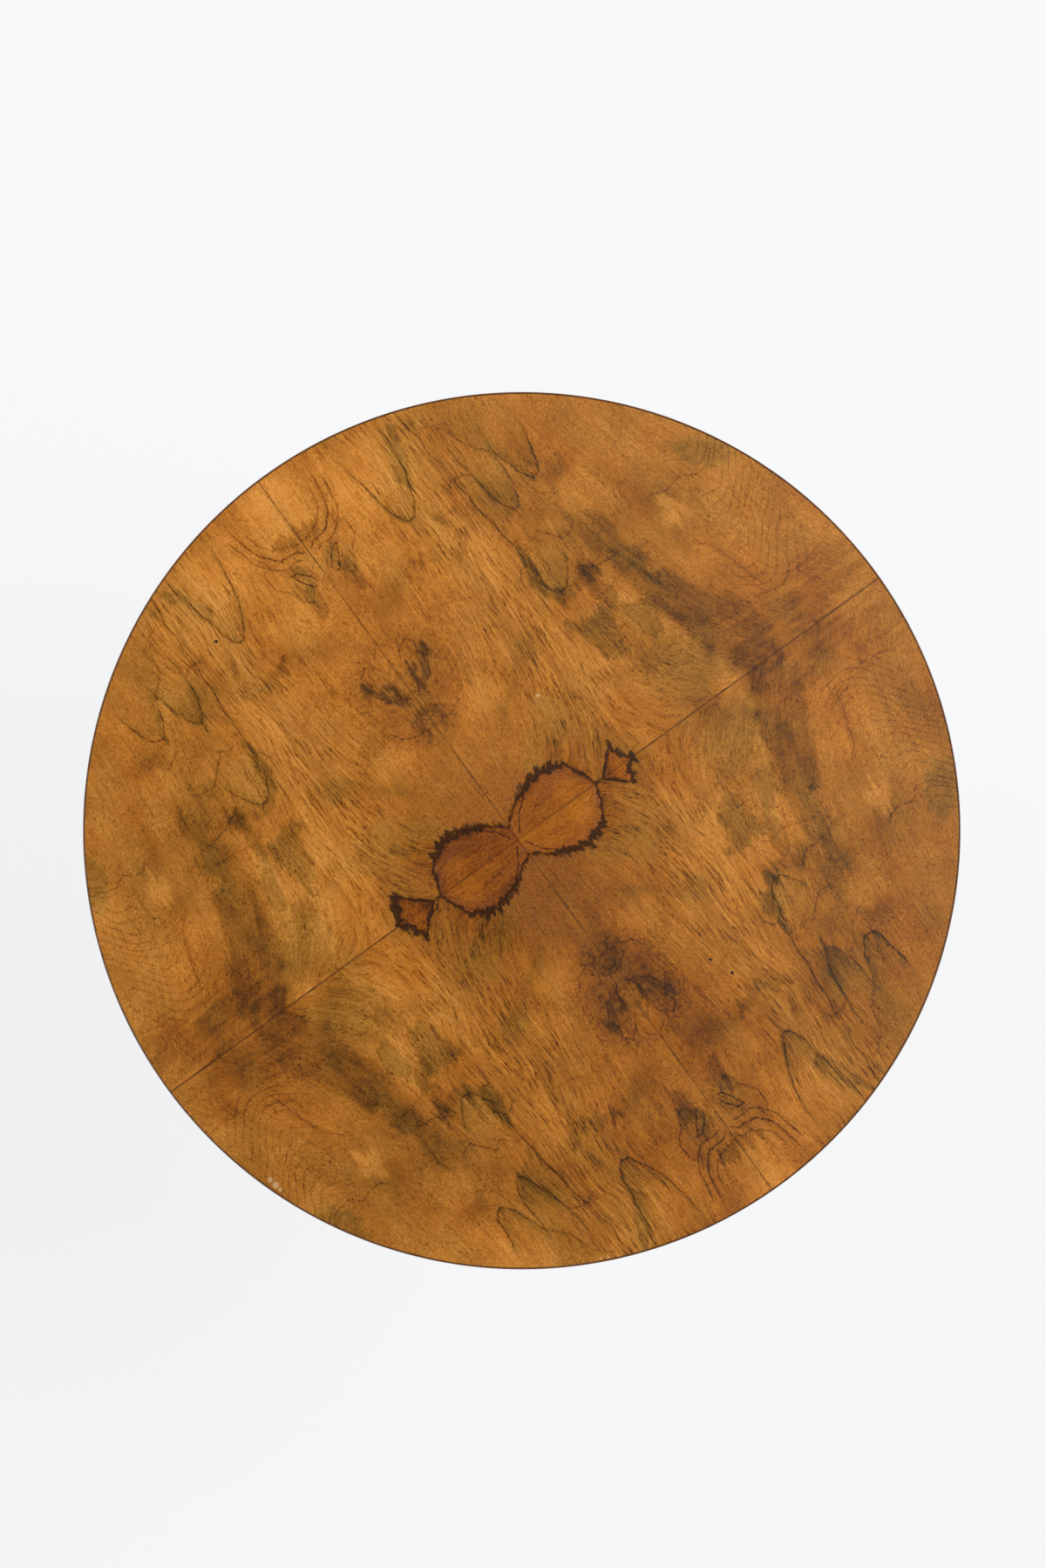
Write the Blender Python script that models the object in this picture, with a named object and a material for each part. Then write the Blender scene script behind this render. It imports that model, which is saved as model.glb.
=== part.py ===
"""Round pedestal side table with a quarter-matched walnut top, built piece by piece.

Units are metres and +Z is up. The origin is on the floor, under the middle of the top.
Seen from above, +X runs to the right of the top and +Y to its upper side.
"""

import math

import bmesh
import bpy

# Overall size
TOP_DIAMETER = 0.660
TABLE_HEIGHT = 0.580

# Gaps between pieces
GLUE_LINE = 0.0003
ROD_CLEARANCE = 0.0006
SCREW_CLEARANCE = 0.0004

# Table top: face veneer on a board core, with a backing veneer and a band round the edge
FACE_VENEER = 0.0010
BACKING_VENEER = 0.0008
CORE_THICKNESS = 0.0200
CORE_BOARD_COUNT = 5
EDGE_BAND = 0.0012
EDGE_EASING = 0.0006
SEAM_ANGLE = math.radians(36.0)
SEAM_CROSS_X = -0.0027
SEAM_CROSS_Y = -0.0068

# Bearers that keep the top flat
BEARER_SETBACK = 0.060
BEARER_WIDTH = 0.045
BEARER_DEPTH = 0.022
BEARER_END_DEPTH = 0.010
BEARER_TAPER = 0.060
BEARER_GAP = 0.022
BEARER_SCREW_INSET = 0.075

# Head block that carries the top on the column
HEAD_WIDTH = 0.180
HEAD_DEPTH = 0.034
HEAD_CHAMFER = 0.012
HEAD_SCREW_INSET = 0.038

# Countersunk wood screws
SCREW_HEAD_RADIUS = 0.0045
SCREW_HEAD_RIM = 0.0006
SCREW_HEAD_CONE = 0.0035
SCREW_SHANK_RADIUS = 0.0023
SCREW_POINT = 0.0050
SCREW_BITE = 0.0140
SCREW_SLOT_WIDTH = 0.0010
SCREW_SLOT_DEPTH = 0.0012
SCREW_RECESS = 0.0005

# Column of eight staves round a tie rod, between a capital and a collar
STAVE_COUNT = 8
STAVE_THICKNESS = 0.018
COLUMN_WIDTH_LOW = 0.124
COLUMN_WIDTH_HIGH = 0.092
PLUG_LENGTH = 0.030
SPIGOT_SHOULDER = 0.008
SPIGOT_LENGTH = 0.008
COLUMN_MARGIN = 0.004
CAPITAL_RIM = 0.008
CAPITAL_COVE_HEIGHT = 0.014
CAPITAL_COVE_WIDTH = 0.015
COLLAR_ROLL = 0.007
COLLAR_FILLET = 0.003
COLLAR_COVE_HEIGHT = 0.007
COLLAR_COVE_WIDTH = 0.010

# Tie rod with a nut and washer at each end
ROD_RADIUS = 0.006
NUT_SIDES = 6
NUT_WALL = 0.003
NUT_THICKNESS = 0.010
WASHER_RIM = 0.012
WASHER_THICKNESS = 0.0025
ROD_PROJECTION = 0.003
NUT_POCKET_MARGIN = 0.002

# Base: a moulded step on a veneered platform with bun feet
STEP_RADIUS = 0.130
STEP_EDGE = 0.010
STEP_ROUND = 0.014
STEP_FILLET = 0.003
PLATFORM_RADIUS = 0.204
PLATFORM_CORE = 0.034
PLATFORM_VENEER = 0.0010
PLATFORM_BAND = 0.0012
DOWEL_RADIUS = 0.005
DOWEL_BITE = 0.012
DOWEL_SPACING = 0.150
FOOT_COUNT = 4
FOOT_INSET = 0.054
FOOT_RADIUS = 0.036
FOOT_HEIGHT = 0.034
FOOT_BULGE_HEIGHT = 0.015
FOOT_SOLE_RADIUS = 0.025
FOOT_NECK_RADIUS = 0.022
FOOT_SPIGOT_RADIUS = 0.011
FOOT_SPIGOT_LENGTH = 0.018

# Facets of the round pieces
RIM_SEGMENTS = 96
TURNED_SEGMENTS = 48
FOOT_SEGMENTS = 20
SMALL_SEGMENTS = 12
ARC_STEPS = 4
MERGE_DISTANCE = 1e-6
SMOOTH_ANGLE = math.radians(35.0)
CUTTER_OVERRUN = 0.002

# Heights, from the floor up and from the top down
PLATFORM_BOTTOM = FOOT_HEIGHT + GLUE_LINE
PLATFORM_CORE_TOP = PLATFORM_BOTTOM + PLATFORM_CORE
PLATFORM_TOP = PLATFORM_CORE_TOP + GLUE_LINE + PLATFORM_VENEER
STEP_BOTTOM = PLATFORM_TOP + GLUE_LINE
STEP_TOP = STEP_BOTTOM + STEP_EDGE + STEP_ROUND
COLLAR_BOTTOM = STEP_TOP + GLUE_LINE
COLLAR_TOP = COLLAR_BOTTOM + 2 * COLLAR_ROLL + COLLAR_FILLET + COLLAR_COVE_HEIGHT
COLUMN_BOTTOM = COLLAR_TOP + GLUE_LINE
VENEER_BOTTOM = TABLE_HEIGHT - FACE_VENEER
CORE_TOP = VENEER_BOTTOM - GLUE_LINE
CORE_BOTTOM = CORE_TOP - CORE_THICKNESS
BACKING_TOP = CORE_BOTTOM - GLUE_LINE
TOP_UNDERSIDE = BACKING_TOP - BACKING_VENEER
HEAD_TOP = TOP_UNDERSIDE - GLUE_LINE
HEAD_BOTTOM = HEAD_TOP - HEAD_DEPTH
CAPITAL_TOP = HEAD_BOTTOM - GLUE_LINE
CAPITAL_BOTTOM = CAPITAL_TOP - CAPITAL_RIM - CAPITAL_COVE_HEIGHT
COLUMN_TOP = CAPITAL_BOTTOM - GLUE_LINE

# Radii and widths that follow from the sizes above
TOP_RADIUS = TOP_DIAMETER / 2
CORE_RADIUS = TOP_RADIUS - EDGE_BAND - GLUE_LINE
PLATFORM_CORE_RADIUS = PLATFORM_RADIUS - PLATFORM_BAND - GLUE_LINE
FOOT_CIRCLE_RADIUS = PLATFORM_RADIUS - FOOT_INSET
ROD_BORE = ROD_RADIUS + ROD_CLEARANCE
WASHER_RADIUS = ROD_BORE + WASHER_RIM
NUT_POCKET_RADIUS = WASHER_RADIUS + ROD_CLEARANCE
NUT_STACK = 2 * GLUE_LINE + WASHER_THICKNESS + NUT_THICKNESS + ROD_PROJECTION
NUT_POCKET_DEPTH = NUT_STACK + NUT_POCKET_MARGIN
COLUMN_CORNER_LOW = COLUMN_WIDTH_LOW / 2 / math.cos(math.pi / STAVE_COUNT)
COLUMN_CORNER_HIGH = COLUMN_WIDTH_HIGH / 2 / math.cos(math.pi / STAVE_COUNT)
SPIGOT_RADIUS = COLUMN_WIDTH_HIGH / 2 - STAVE_THICKNESS - SPIGOT_SHOULDER
BEARER_OFFSET = HEAD_WIDTH / 2 + BEARER_GAP + BEARER_WIDTH / 2
BEARER_OUTER_SIDE = BEARER_OFFSET + BEARER_WIDTH / 2
BEARER_HALF_LENGTH = math.sqrt(TOP_RADIUS**2 - BEARER_OUTER_SIDE**2) - BEARER_SETBACK


def clear_scene():
    for obj in list(bpy.data.objects):
        bpy.data.objects.remove(obj, do_unlink=True)


def finish(name, colour, roughness, metallic=0.0):
    """A Principled material of one colour."""
    material = bpy.data.materials.new(name)
    material.use_nodes = True
    shader = material.node_tree.nodes["Principled BSDF"]
    shader.inputs["Base Color"].default_value = (*colour, 1.0)
    shader.inputs["Roughness"].default_value = roughness
    shader.inputs["Metallic"].default_value = metallic
    return material


def mesh_of(name, bm, material=None):
    """The finished mesh of a bmesh, with its faces turned outwards and its round faces smooth."""
    bmesh.ops.recalc_face_normals(bm, faces=bm.faces)
    mesh = bpy.data.meshes.new(name)
    bm.to_mesh(mesh)
    bm.free()
    mesh.shade_smooth()
    mesh.set_sharp_from_angle(angle=SMOOTH_ANGLE)
    if material:
        mesh.materials.append(material)
    return mesh


def place(name, mesh, location=(0.0, 0.0, 0.0), turn=0.0):
    """One named piece at its place, turned about the upright axis."""
    obj = bpy.data.objects.new(name, mesh)
    obj.location = location
    obj.rotation_euler = (0.0, 0.0, turn)
    bpy.context.scene.collection.objects.link(obj)
    return obj


def cutter(name, bm):
    """A hidden shape that is only used to cut others."""
    obj = place(name, mesh_of(name, bm))
    obj.hide_render = True
    obj.display_type = "WIRE"
    return obj


def combine(obj, other, operation="DIFFERENCE"):
    modifier = obj.modifiers.new(other.name, "BOOLEAN")
    modifier.operation = operation
    modifier.solver = "EXACT"
    modifier.object = other


def arc(centre_r, centre_z, radius_r, radius_z, start, end):
    """Points of an elliptical arc in a turned outline, from one angle in degrees to another."""
    angles = [math.radians(start + (end - start) * i / ARC_STEPS) for i in range(ARC_STEPS + 1)]
    return [(centre_r + radius_r * math.cos(a), centre_z + radius_z * math.sin(a)) for a in angles]


def turned(outline, segments, bm=None, centre=(0.0, 0.0)):
    """A turned solid: a closed outline of (radius, height) points spun round an upright axis."""
    bm = bm or bmesh.new()
    verts = [bm.verts.new((centre[0] + r, centre[1], z)) for r, z in outline]
    edges = []
    for i, (radius, _) in enumerate(outline):
        following = (i + 1) % len(outline)
        if radius > 0.0 or outline[following][0] > 0.0:
            edges.append(bm.edges.new((verts[i], verts[following])))
    bmesh.ops.spin(
        bm,
        geom=verts + edges,
        cent=(*centre, 0.0),
        axis=(0.0, 0.0, 1.0),
        angle=math.tau,
        steps=segments,
        use_merge=True,
    )
    bmesh.ops.remove_doubles(bm, verts=bm.verts, dist=MERGE_DISTANCE)
    return bm


def cylinder_outline(radius, bottom, top):
    return [(0.0, bottom), (radius, bottom), (radius, top), (0.0, top)]


def plate(outline, bottom, top):
    """A flat plate: a closed outline of (x, y) points drawn upwards."""
    bm = bmesh.new()
    face = bm.faces.new([bm.verts.new((x, y, bottom)) for x, y in outline])
    grown = bmesh.ops.extrude_face_region(bm, geom=[face])["geom"]
    lifted = [v for v in grown if isinstance(v, bmesh.types.BMVert)]
    bmesh.ops.translate(bm, verts=lifted, vec=(0.0, 0.0, top - bottom))
    return bm


def polygon(count, apothem):
    """Corners of a regular polygon with one flat square to +X."""
    radius = apothem / math.cos(math.pi / count)
    angles = [math.tau * (i + 0.5) / count for i in range(count)]
    return [(radius * math.cos(a), radius * math.sin(a)) for a in angles]


def frustum(low, bottom, high, top):
    """A solid that runs from one outline to another with as many corners."""
    bm = bmesh.new()
    rings = []
    for outline, height in ((low, bottom), (high, top)):
        rings.append([bm.verts.new((x, y, height)) for x, y in outline])
    bm.faces.new(rings[0])
    bm.faces.new(rings[1])
    for i in range(len(low)):
        j = (i + 1) % len(low)
        bm.faces.new((rings[0][i], rings[0][j], rings[1][j], rings[1][i]))
    return bm


# Face veneer, four leaves opened out from one flitch round a common cross

LEAF_NAMES = ("veneer_leaf_north", "veneer_leaf_west", "veneer_leaf_south", "veneer_leaf_east")


def rim_distance(start, direction, radius):
    """How far a line from a point runs before it meets the circle round the origin."""
    along = start[0] * direction[0] + start[1] * direction[1]
    inside = radius**2 - start[0] ** 2 - start[1] ** 2
    return -along + math.sqrt(along**2 + inside)


def leaf_outline(quarter, radius):
    """A quarter of the top between two seams, kept half a glue line clear of each."""
    angle = SEAM_ANGLE + quarter * math.pi / 2
    first = (math.cos(angle), math.sin(angle))
    second = (-math.sin(angle), math.cos(angle))
    gap = GLUE_LINE / 2
    corner = (
        SEAM_CROSS_X + gap * (first[0] + second[0]),
        SEAM_CROSS_Y + gap * (first[1] + second[1]),
    )
    ends = []
    for direction in (first, second):
        reach = rim_distance(corner, direction, radius)
        ends.append(math.atan2(corner[1] + reach * direction[1], corner[0] + reach * direction[0]))
    sweep = (ends[1] - ends[0]) % math.tau
    steps = RIM_SEGMENTS // 4
    angles = [ends[0] + sweep * i / steps for i in range(steps + 1)]
    return [corner] + [(radius * math.cos(a), radius * math.sin(a)) for a in angles]


def build_face_veneer(walnut):
    for quarter, name in enumerate(LEAF_NAMES):
        bm = plate(leaf_outline(quarter, CORE_RADIUS), VENEER_BOTTOM, TABLE_HEIGHT)
        place(name, mesh_of(name, bm, walnut))


def band_outline(radius, thickness, bottom, top):
    """A strip of veneer bent round an edge, with both its arrises eased."""
    easing = min(EDGE_EASING, thickness / 2)
    inner = radius - thickness
    eased = radius - easing
    return [
        (inner, bottom),
        (eased, bottom),
        (radius, bottom + easing),
        (radius, top - easing),
        (eased, top),
        (inner, top),
    ]


def build_edge_band(walnut):
    outline = band_outline(TOP_RADIUS, EDGE_BAND, TOP_UNDERSIDE, TABLE_HEIGHT)
    place("edge_band", mesh_of("edge_band", turned(outline, RIM_SEGMENTS), walnut))


# Core of the top, softwood boards glued edge to edge, and the veneer under it


def board_outline(low, high, radius):
    """The part of a disc between two lines of equal x, with its ends on the rim."""
    steps = RIM_SEGMENTS // 8
    start = math.acos(min(1.0, high / radius))
    end = math.acos(max(-1.0, low / radius))
    angles = [start + (end - start) * i / steps for i in range(steps + 1)]
    upper = [(radius * math.cos(a), radius * math.sin(a)) for a in angles]
    lower = [(x, -y) for x, y in reversed(upper) if abs(y) > MERGE_DISTANCE]
    return upper + lower


def build_core(softwood, screw_holes):
    width = 2 * CORE_RADIUS / CORE_BOARD_COUNT
    for i in range(CORE_BOARD_COUNT):
        low = -CORE_RADIUS + i * width + (GLUE_LINE / 2 if i else 0.0)
        high = -CORE_RADIUS + (i + 1) * width - (GLUE_LINE / 2 if i < CORE_BOARD_COUNT - 1 else 0.0)
        name = f"core_board_{i + 1}"
        bm = plate(board_outline(low, high, CORE_RADIUS), CORE_BOTTOM, CORE_TOP)
        combine(place(name, mesh_of(name, bm, softwood)), screw_holes)


def build_backing_veneer(softwood, screw_holes):
    bm = turned(cylinder_outline(CORE_RADIUS, TOP_UNDERSIDE, BACKING_TOP), RIM_SEGMENTS)
    combine(place("backing_veneer", mesh_of("backing_veneer", bm, softwood)), screw_holes)


# Countersunk screws, driven upwards, and the holes that they sit in


def screw_length(depth):
    """From the face of the head to the point, through a piece of that depth into the core."""
    return depth - SCREW_RECESS + 2 * GLUE_LINE + BACKING_VENEER + SCREW_BITE


def screw_outline(length, grown=0.0):
    """A screw standing on its head at height 0. Grown, it is the hole that clears the screw."""
    head = SCREW_HEAD_RADIUS + grown
    shank = SCREW_SHANK_RADIUS + grown
    mouth = -(SCREW_RECESS + CUTTER_OVERRUN) if grown else 0.0
    cone_top = SCREW_HEAD_RIM + SCREW_HEAD_CONE + grown
    return [
        (0.0, mouth),
        (head, mouth),
        (head, SCREW_HEAD_RIM + grown),
        (shank, cone_top),
        (shank, length - SCREW_POINT + grown),
        (0.0, length + grown),
    ]


def bearer_screw_places():
    reach = BEARER_HALF_LENGTH - BEARER_SCREW_INSET
    return [(x, y) for y in (-BEARER_OFFSET, BEARER_OFFSET) for x in (-reach, 0.0, reach)]


def head_screw_places():
    reach = HEAD_WIDTH / 2 - HEAD_SCREW_INSET
    return [(x, y) for y in (-reach, reach) for x in (-reach, reach)]


def screw_groups():
    """Name, depth of the piece that the screws hold, and where they are."""
    return (
        ("bearer_screw", BEARER_DEPTH, bearer_screw_places()),
        ("head_screw", HEAD_DEPTH, head_screw_places()),
    )


def screw_head_height(depth):
    return HEAD_TOP - depth + SCREW_RECESS


def build_screw_holes():
    bm = bmesh.new()
    for _, depth, places in screw_groups():
        base = screw_head_height(depth)
        outline = [(r, z + base) for r, z in screw_outline(screw_length(depth), SCREW_CLEARANCE)]
        for centre in places:
            turned(outline, SMALL_SEGMENTS, bm, centre)
    return cutter("screw_holes", bm)


def build_screws(brass):
    """Each group shares one mesh. The slot is cut across the head."""
    reach = SCREW_HEAD_RADIUS + CUTTER_OVERRUN
    half = SCREW_SLOT_WIDTH / 2
    slot = plate(
        [(-reach, -half), (reach, -half), (reach, half), (-reach, half)],
        -CUTTER_OVERRUN,
        SCREW_SLOT_DEPTH,
    )
    slot_mesh = mesh_of("screw_slot", slot)
    for group, depth, places in screw_groups():
        mesh = mesh_of(group, turned(screw_outline(screw_length(depth)), SMALL_SEGMENTS), brass)
        for i, (x, y) in enumerate(places):
            location = (x, y, screw_head_height(depth))
            name = f"{group}_{i + 1}"
            blade = place(f"{name}_slot", slot_mesh, location)
            blade.hide_render = True
            blade.display_type = "WIRE"
            combine(place(name, mesh, location), blade)


# Bearers and head block under the top


def build_bearers(beech, screw_holes):
    """Two battens across the boards, thinned towards their ends on the underside."""
    half = BEARER_HALF_LENGTH
    bottom = HEAD_TOP - BEARER_DEPTH
    side = [
        (-half, HEAD_TOP),
        (-half, HEAD_TOP - BEARER_END_DEPTH),
        (-half + BEARER_TAPER, bottom),
        (half - BEARER_TAPER, bottom),
        (half, HEAD_TOP - BEARER_END_DEPTH),
        (half, HEAD_TOP),
    ]
    for name, centre in (("bearer_front", -BEARER_OFFSET), ("bearer_back", BEARER_OFFSET)):
        bm = bmesh.new()
        face = bm.faces.new([bm.verts.new((x, centre - BEARER_WIDTH / 2, z)) for x, z in side])
        grown = bmesh.ops.extrude_face_region(bm, geom=[face])["geom"]
        moved = [v for v in grown if isinstance(v, bmesh.types.BMVert)]
        bmesh.ops.translate(bm, verts=moved, vec=(0.0, BEARER_WIDTH, 0.0))
        combine(place(name, mesh_of(name, bm, beech)), screw_holes)


def square(width):
    half = width / 2
    return [(-half, -half), (half, -half), (half, half), (-half, half)]


def build_head_block(walnut, screw_holes):
    """A square block, chamfered below, with the rod's bore and a pocket for the upper nut."""
    bm = plate(square(HEAD_WIDTH), HEAD_BOTTOM, HEAD_TOP)
    lower = [e for e in bm.edges if all(abs(v.co.z - HEAD_BOTTOM) < MERGE_DISTANCE for v in e.verts)]
    bmesh.ops.bevel(bm, geom=lower, offset=HEAD_CHAMFER, segments=1, affect="EDGES")
    block = place("head_block", mesh_of("head_block", bm, walnut))
    combine(block, screw_holes)
    hole = [
        (0.0, HEAD_BOTTOM - CUTTER_OVERRUN),
        (ROD_BORE, HEAD_BOTTOM - CUTTER_OVERRUN),
        (ROD_BORE, HEAD_TOP - NUT_POCKET_DEPTH),
        (NUT_POCKET_RADIUS, HEAD_TOP - NUT_POCKET_DEPTH),
        (NUT_POCKET_RADIUS, HEAD_TOP + CUTTER_OVERRUN),
        (0.0, HEAD_TOP + CUTTER_OVERRUN),
    ]
    combine(block, cutter("head_block_bore", turned(hole, FOOT_SEGMENTS)))


# Column: capital, eight staves, end plugs and collar


def build_capital(ebonised):
    """A turned cap that flares up from the column to a square-edged rim, socketed below."""
    socket = SPIGOT_RADIUS + GLUE_LINE
    socket_top = CAPITAL_BOTTOM + SPIGOT_LENGTH
    rim = COLUMN_CORNER_HIGH + COLUMN_MARGIN + CAPITAL_COVE_WIDTH
    outline = [(socket, CAPITAL_BOTTOM)]
    outline += arc(rim, CAPITAL_BOTTOM, CAPITAL_COVE_WIDTH, CAPITAL_COVE_HEIGHT, 180.0, 90.0)
    outline += [(rim, CAPITAL_TOP), (ROD_BORE, CAPITAL_TOP)]
    outline += [(ROD_BORE, socket_top), (socket, socket_top)]
    place("capital", mesh_of("capital", turned(outline, TURNED_SEGMENTS), ebonised))


def build_collar(ebonised):
    """A turned ring with a half-round roll, a fillet and a cove that runs up to the column."""
    socket = SPIGOT_RADIUS + GLUE_LINE
    socket_bottom = COLLAR_TOP - SPIGOT_LENGTH
    middle = COLUMN_CORNER_LOW + COLUMN_MARGIN + COLLAR_COVE_WIDTH
    outline = [(ROD_BORE, COLLAR_BOTTOM)]
    outline += arc(middle, COLLAR_BOTTOM + COLLAR_ROLL, COLLAR_ROLL, COLLAR_ROLL, -90.0, 90.0)
    outline += arc(middle, COLLAR_TOP, COLLAR_COVE_WIDTH, COLLAR_COVE_HEIGHT, 270.0, 180.0)
    outline += [(socket, COLLAR_TOP), (socket, socket_bottom), (ROD_BORE, socket_bottom)]
    place("collar", mesh_of("collar", turned(outline, TURNED_SEGMENTS), ebonised))


def column_apothem(height):
    """Half the column's width across flats at a height, on its straight taper."""
    share = (height - COLUMN_BOTTOM) / (COLUMN_TOP - COLUMN_BOTTOM)
    return (COLUMN_WIDTH_LOW + (COLUMN_WIDTH_HIGH - COLUMN_WIDTH_LOW) * share) / 2


def stave_outline(apothem):
    """A mitred stave across +X, half a glue line short of the mitre on both sides."""
    half_angle = math.pi / STAVE_COUNT
    inner = apothem - STAVE_THICKNESS
    inset = GLUE_LINE / 2 / math.cos(half_angle)
    wide = apothem * math.tan(half_angle) - inset
    narrow = inner * math.tan(half_angle) - inset
    return [(inner, -narrow), (apothem, -wide), (apothem, wide), (inner, narrow)]


def build_staves(walnut):
    low = stave_outline(column_apothem(COLUMN_BOTTOM))
    high = stave_outline(column_apothem(COLUMN_TOP))
    mesh = mesh_of("stave", frustum(low, COLUMN_BOTTOM, high, COLUMN_TOP), walnut)
    for i in range(STAVE_COUNT):
        place(f"column_stave_{i + 1}", mesh, turn=math.tau * i / STAVE_COUNT)


def build_plugs(softwood):
    """A tapered plug glued into each end of the column, with a round spigot that stands out of it."""
    ends = (
        ("column_plug_low", COLUMN_BOTTOM, COLUMN_BOTTOM + PLUG_LENGTH, COLLAR_TOP, -1.0),
        ("column_plug_high", COLUMN_TOP - PLUG_LENGTH, COLUMN_TOP, CAPITAL_BOTTOM, 1.0),
    )
    bore = cutter("plug_bore", turned(cylinder_outline(ROD_BORE, 0.0, TABLE_HEIGHT), SMALL_SEGMENTS))
    inset = STAVE_THICKNESS + GLUE_LINE
    for name, bottom, top, seat, outwards in ends:
        low = polygon(STAVE_COUNT, column_apothem(bottom) - inset)
        high = polygon(STAVE_COUNT, column_apothem(top) - inset)
        plug = place(name, mesh_of(name, frustum(low, bottom, high, top), softwood))
        tip = seat + outwards * (SPIGOT_LENGTH - GLUE_LINE)
        root = seat - outwards * PLUG_LENGTH / 2
        outline = cylinder_outline(SPIGOT_RADIUS, min(tip, root), max(tip, root))
        combine(plug, cutter(f"{name}_spigot", turned(outline, TURNED_SEGMENTS)), "UNION")
        combine(plug, bore)


# Tie rod that clamps head block, column and base together


def build_tie_rod(steel):
    pocket_floor = HEAD_TOP - NUT_POCKET_DEPTH
    pocket_ceiling = PLATFORM_BOTTOM + NUT_POCKET_DEPTH
    ends = (("high", pocket_floor, 1.0), ("low", pocket_ceiling, -1.0))
    tips = []
    for end, seat, outwards in ends:
        washer_far = seat + outwards * (GLUE_LINE + WASHER_THICKNESS)
        nut_near = washer_far + outwards * GLUE_LINE
        nut_far = nut_near + outwards * NUT_THICKNESS
        tips.append(nut_far + outwards * ROD_PROJECTION)
        low, high = sorted((seat + outwards * GLUE_LINE, washer_far))
        washer = [(ROD_BORE, low), (WASHER_RADIUS, low), (WASHER_RADIUS, high), (ROD_BORE, high)]
        name = f"washer_{end}"
        place(name, mesh_of(name, turned(washer, FOOT_SEGMENTS), steel))
        name = f"nut_{end}"
        low, high = sorted((nut_near, nut_far))
        nut = plate(polygon(NUT_SIDES, ROD_BORE + NUT_WALL), low, high)
        bore = cylinder_outline(ROD_BORE, low - CUTTER_OVERRUN, high + CUTTER_OVERRUN)
        combine(
            place(name, mesh_of(name, nut, steel)),
            cutter(f"{name}_bore", turned(bore, SMALL_SEGMENTS)),
        )
    rod = turned(cylinder_outline(ROD_RADIUS, min(tips), max(tips)), SMALL_SEGMENTS)
    place("tie_rod", mesh_of("tie_rod", rod, steel))


# Base: step, platform, dowels and feet


def dowel_places():
    return [(-DOWEL_SPACING / 2, 0.0), (DOWEL_SPACING / 2, 0.0)]


def dowel_span():
    """Lowest and highest point of a dowel, which bites as deep into the platform as into the step."""
    return PLATFORM_CORE_TOP - DOWEL_BITE, STEP_BOTTOM + DOWEL_BITE


def build_dowels(beech):
    low, high = dowel_span()
    holes = bmesh.new()
    grown = DOWEL_RADIUS + GLUE_LINE
    mesh = mesh_of("dowel", turned(cylinder_outline(DOWEL_RADIUS, low, high), SMALL_SEGMENTS), beech)
    for i, (x, y) in enumerate(dowel_places()):
        place(f"dowel_{i + 1}", mesh, (x, y, 0.0))
        outline = cylinder_outline(grown, low - GLUE_LINE, high + GLUE_LINE)
        turned(outline, SMALL_SEGMENTS, holes, (x, y))
    return cutter("dowel_holes", holes)


def build_step(walnut, dowel_holes):
    """A turned disc with a fillet and a quarter-round above it."""
    round_bottom = STEP_TOP - STEP_ROUND
    outline = [(ROD_BORE, STEP_BOTTOM), (STEP_RADIUS, STEP_BOTTOM)]
    outline += [(STEP_RADIUS, round_bottom), (STEP_RADIUS - STEP_FILLET, round_bottom)]
    centre = STEP_RADIUS - STEP_FILLET - STEP_ROUND
    outline += arc(centre, round_bottom, STEP_ROUND, STEP_ROUND, 0.0, 90.0)[1:]
    outline += [(ROD_BORE, STEP_TOP)]
    step = place("base_step", mesh_of("base_step", turned(outline, TURNED_SEGMENTS), walnut))
    combine(step, dowel_holes)


def build_platform(softwood, walnut, dowel_holes, foot_sockets):
    """A round core with a pocket for the lower nut, veneered on top and banded round its edge."""
    pocket = PLATFORM_BOTTOM + NUT_POCKET_DEPTH
    core = [
        (NUT_POCKET_RADIUS, PLATFORM_BOTTOM),
        (PLATFORM_CORE_RADIUS, PLATFORM_BOTTOM),
        (PLATFORM_CORE_RADIUS, PLATFORM_CORE_TOP),
        (ROD_BORE, PLATFORM_CORE_TOP),
        (ROD_BORE, pocket),
        (NUT_POCKET_RADIUS, pocket),
    ]
    body = place("platform_core", mesh_of("platform_core", turned(core, TURNED_SEGMENTS), softwood))
    combine(body, dowel_holes)
    combine(body, foot_sockets)
    low = PLATFORM_CORE_TOP + GLUE_LINE
    sheet = [
        (ROD_BORE, low),
        (PLATFORM_CORE_RADIUS, low),
        (PLATFORM_CORE_RADIUS, PLATFORM_TOP),
        (ROD_BORE, PLATFORM_TOP),
    ]
    veneer = place("platform_veneer", mesh_of("platform_veneer", turned(sheet, TURNED_SEGMENTS), walnut))
    combine(veneer, dowel_holes)
    band = band_outline(PLATFORM_RADIUS, PLATFORM_BAND, PLATFORM_BOTTOM, PLATFORM_TOP)
    place("platform_band", mesh_of("platform_band", turned(band, TURNED_SEGMENTS), walnut))


def foot_places():
    angles = [math.tau * (i + 0.5) / FOOT_COUNT for i in range(FOOT_COUNT)]
    return [(FOOT_CIRCLE_RADIUS * math.cos(a), FOOT_CIRCLE_RADIUS * math.sin(a)) for a in angles]


def build_foot_sockets():
    bm = bmesh.new()
    depth = FOOT_SPIGOT_LENGTH + GLUE_LINE
    outline = cylinder_outline(
        FOOT_SPIGOT_RADIUS + GLUE_LINE, PLATFORM_BOTTOM - CUTTER_OVERRUN, PLATFORM_BOTTOM + depth
    )
    for centre in foot_places():
        turned(outline, FOOT_SEGMENTS, bm, centre)
    return cutter("foot_sockets", bm)


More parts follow.
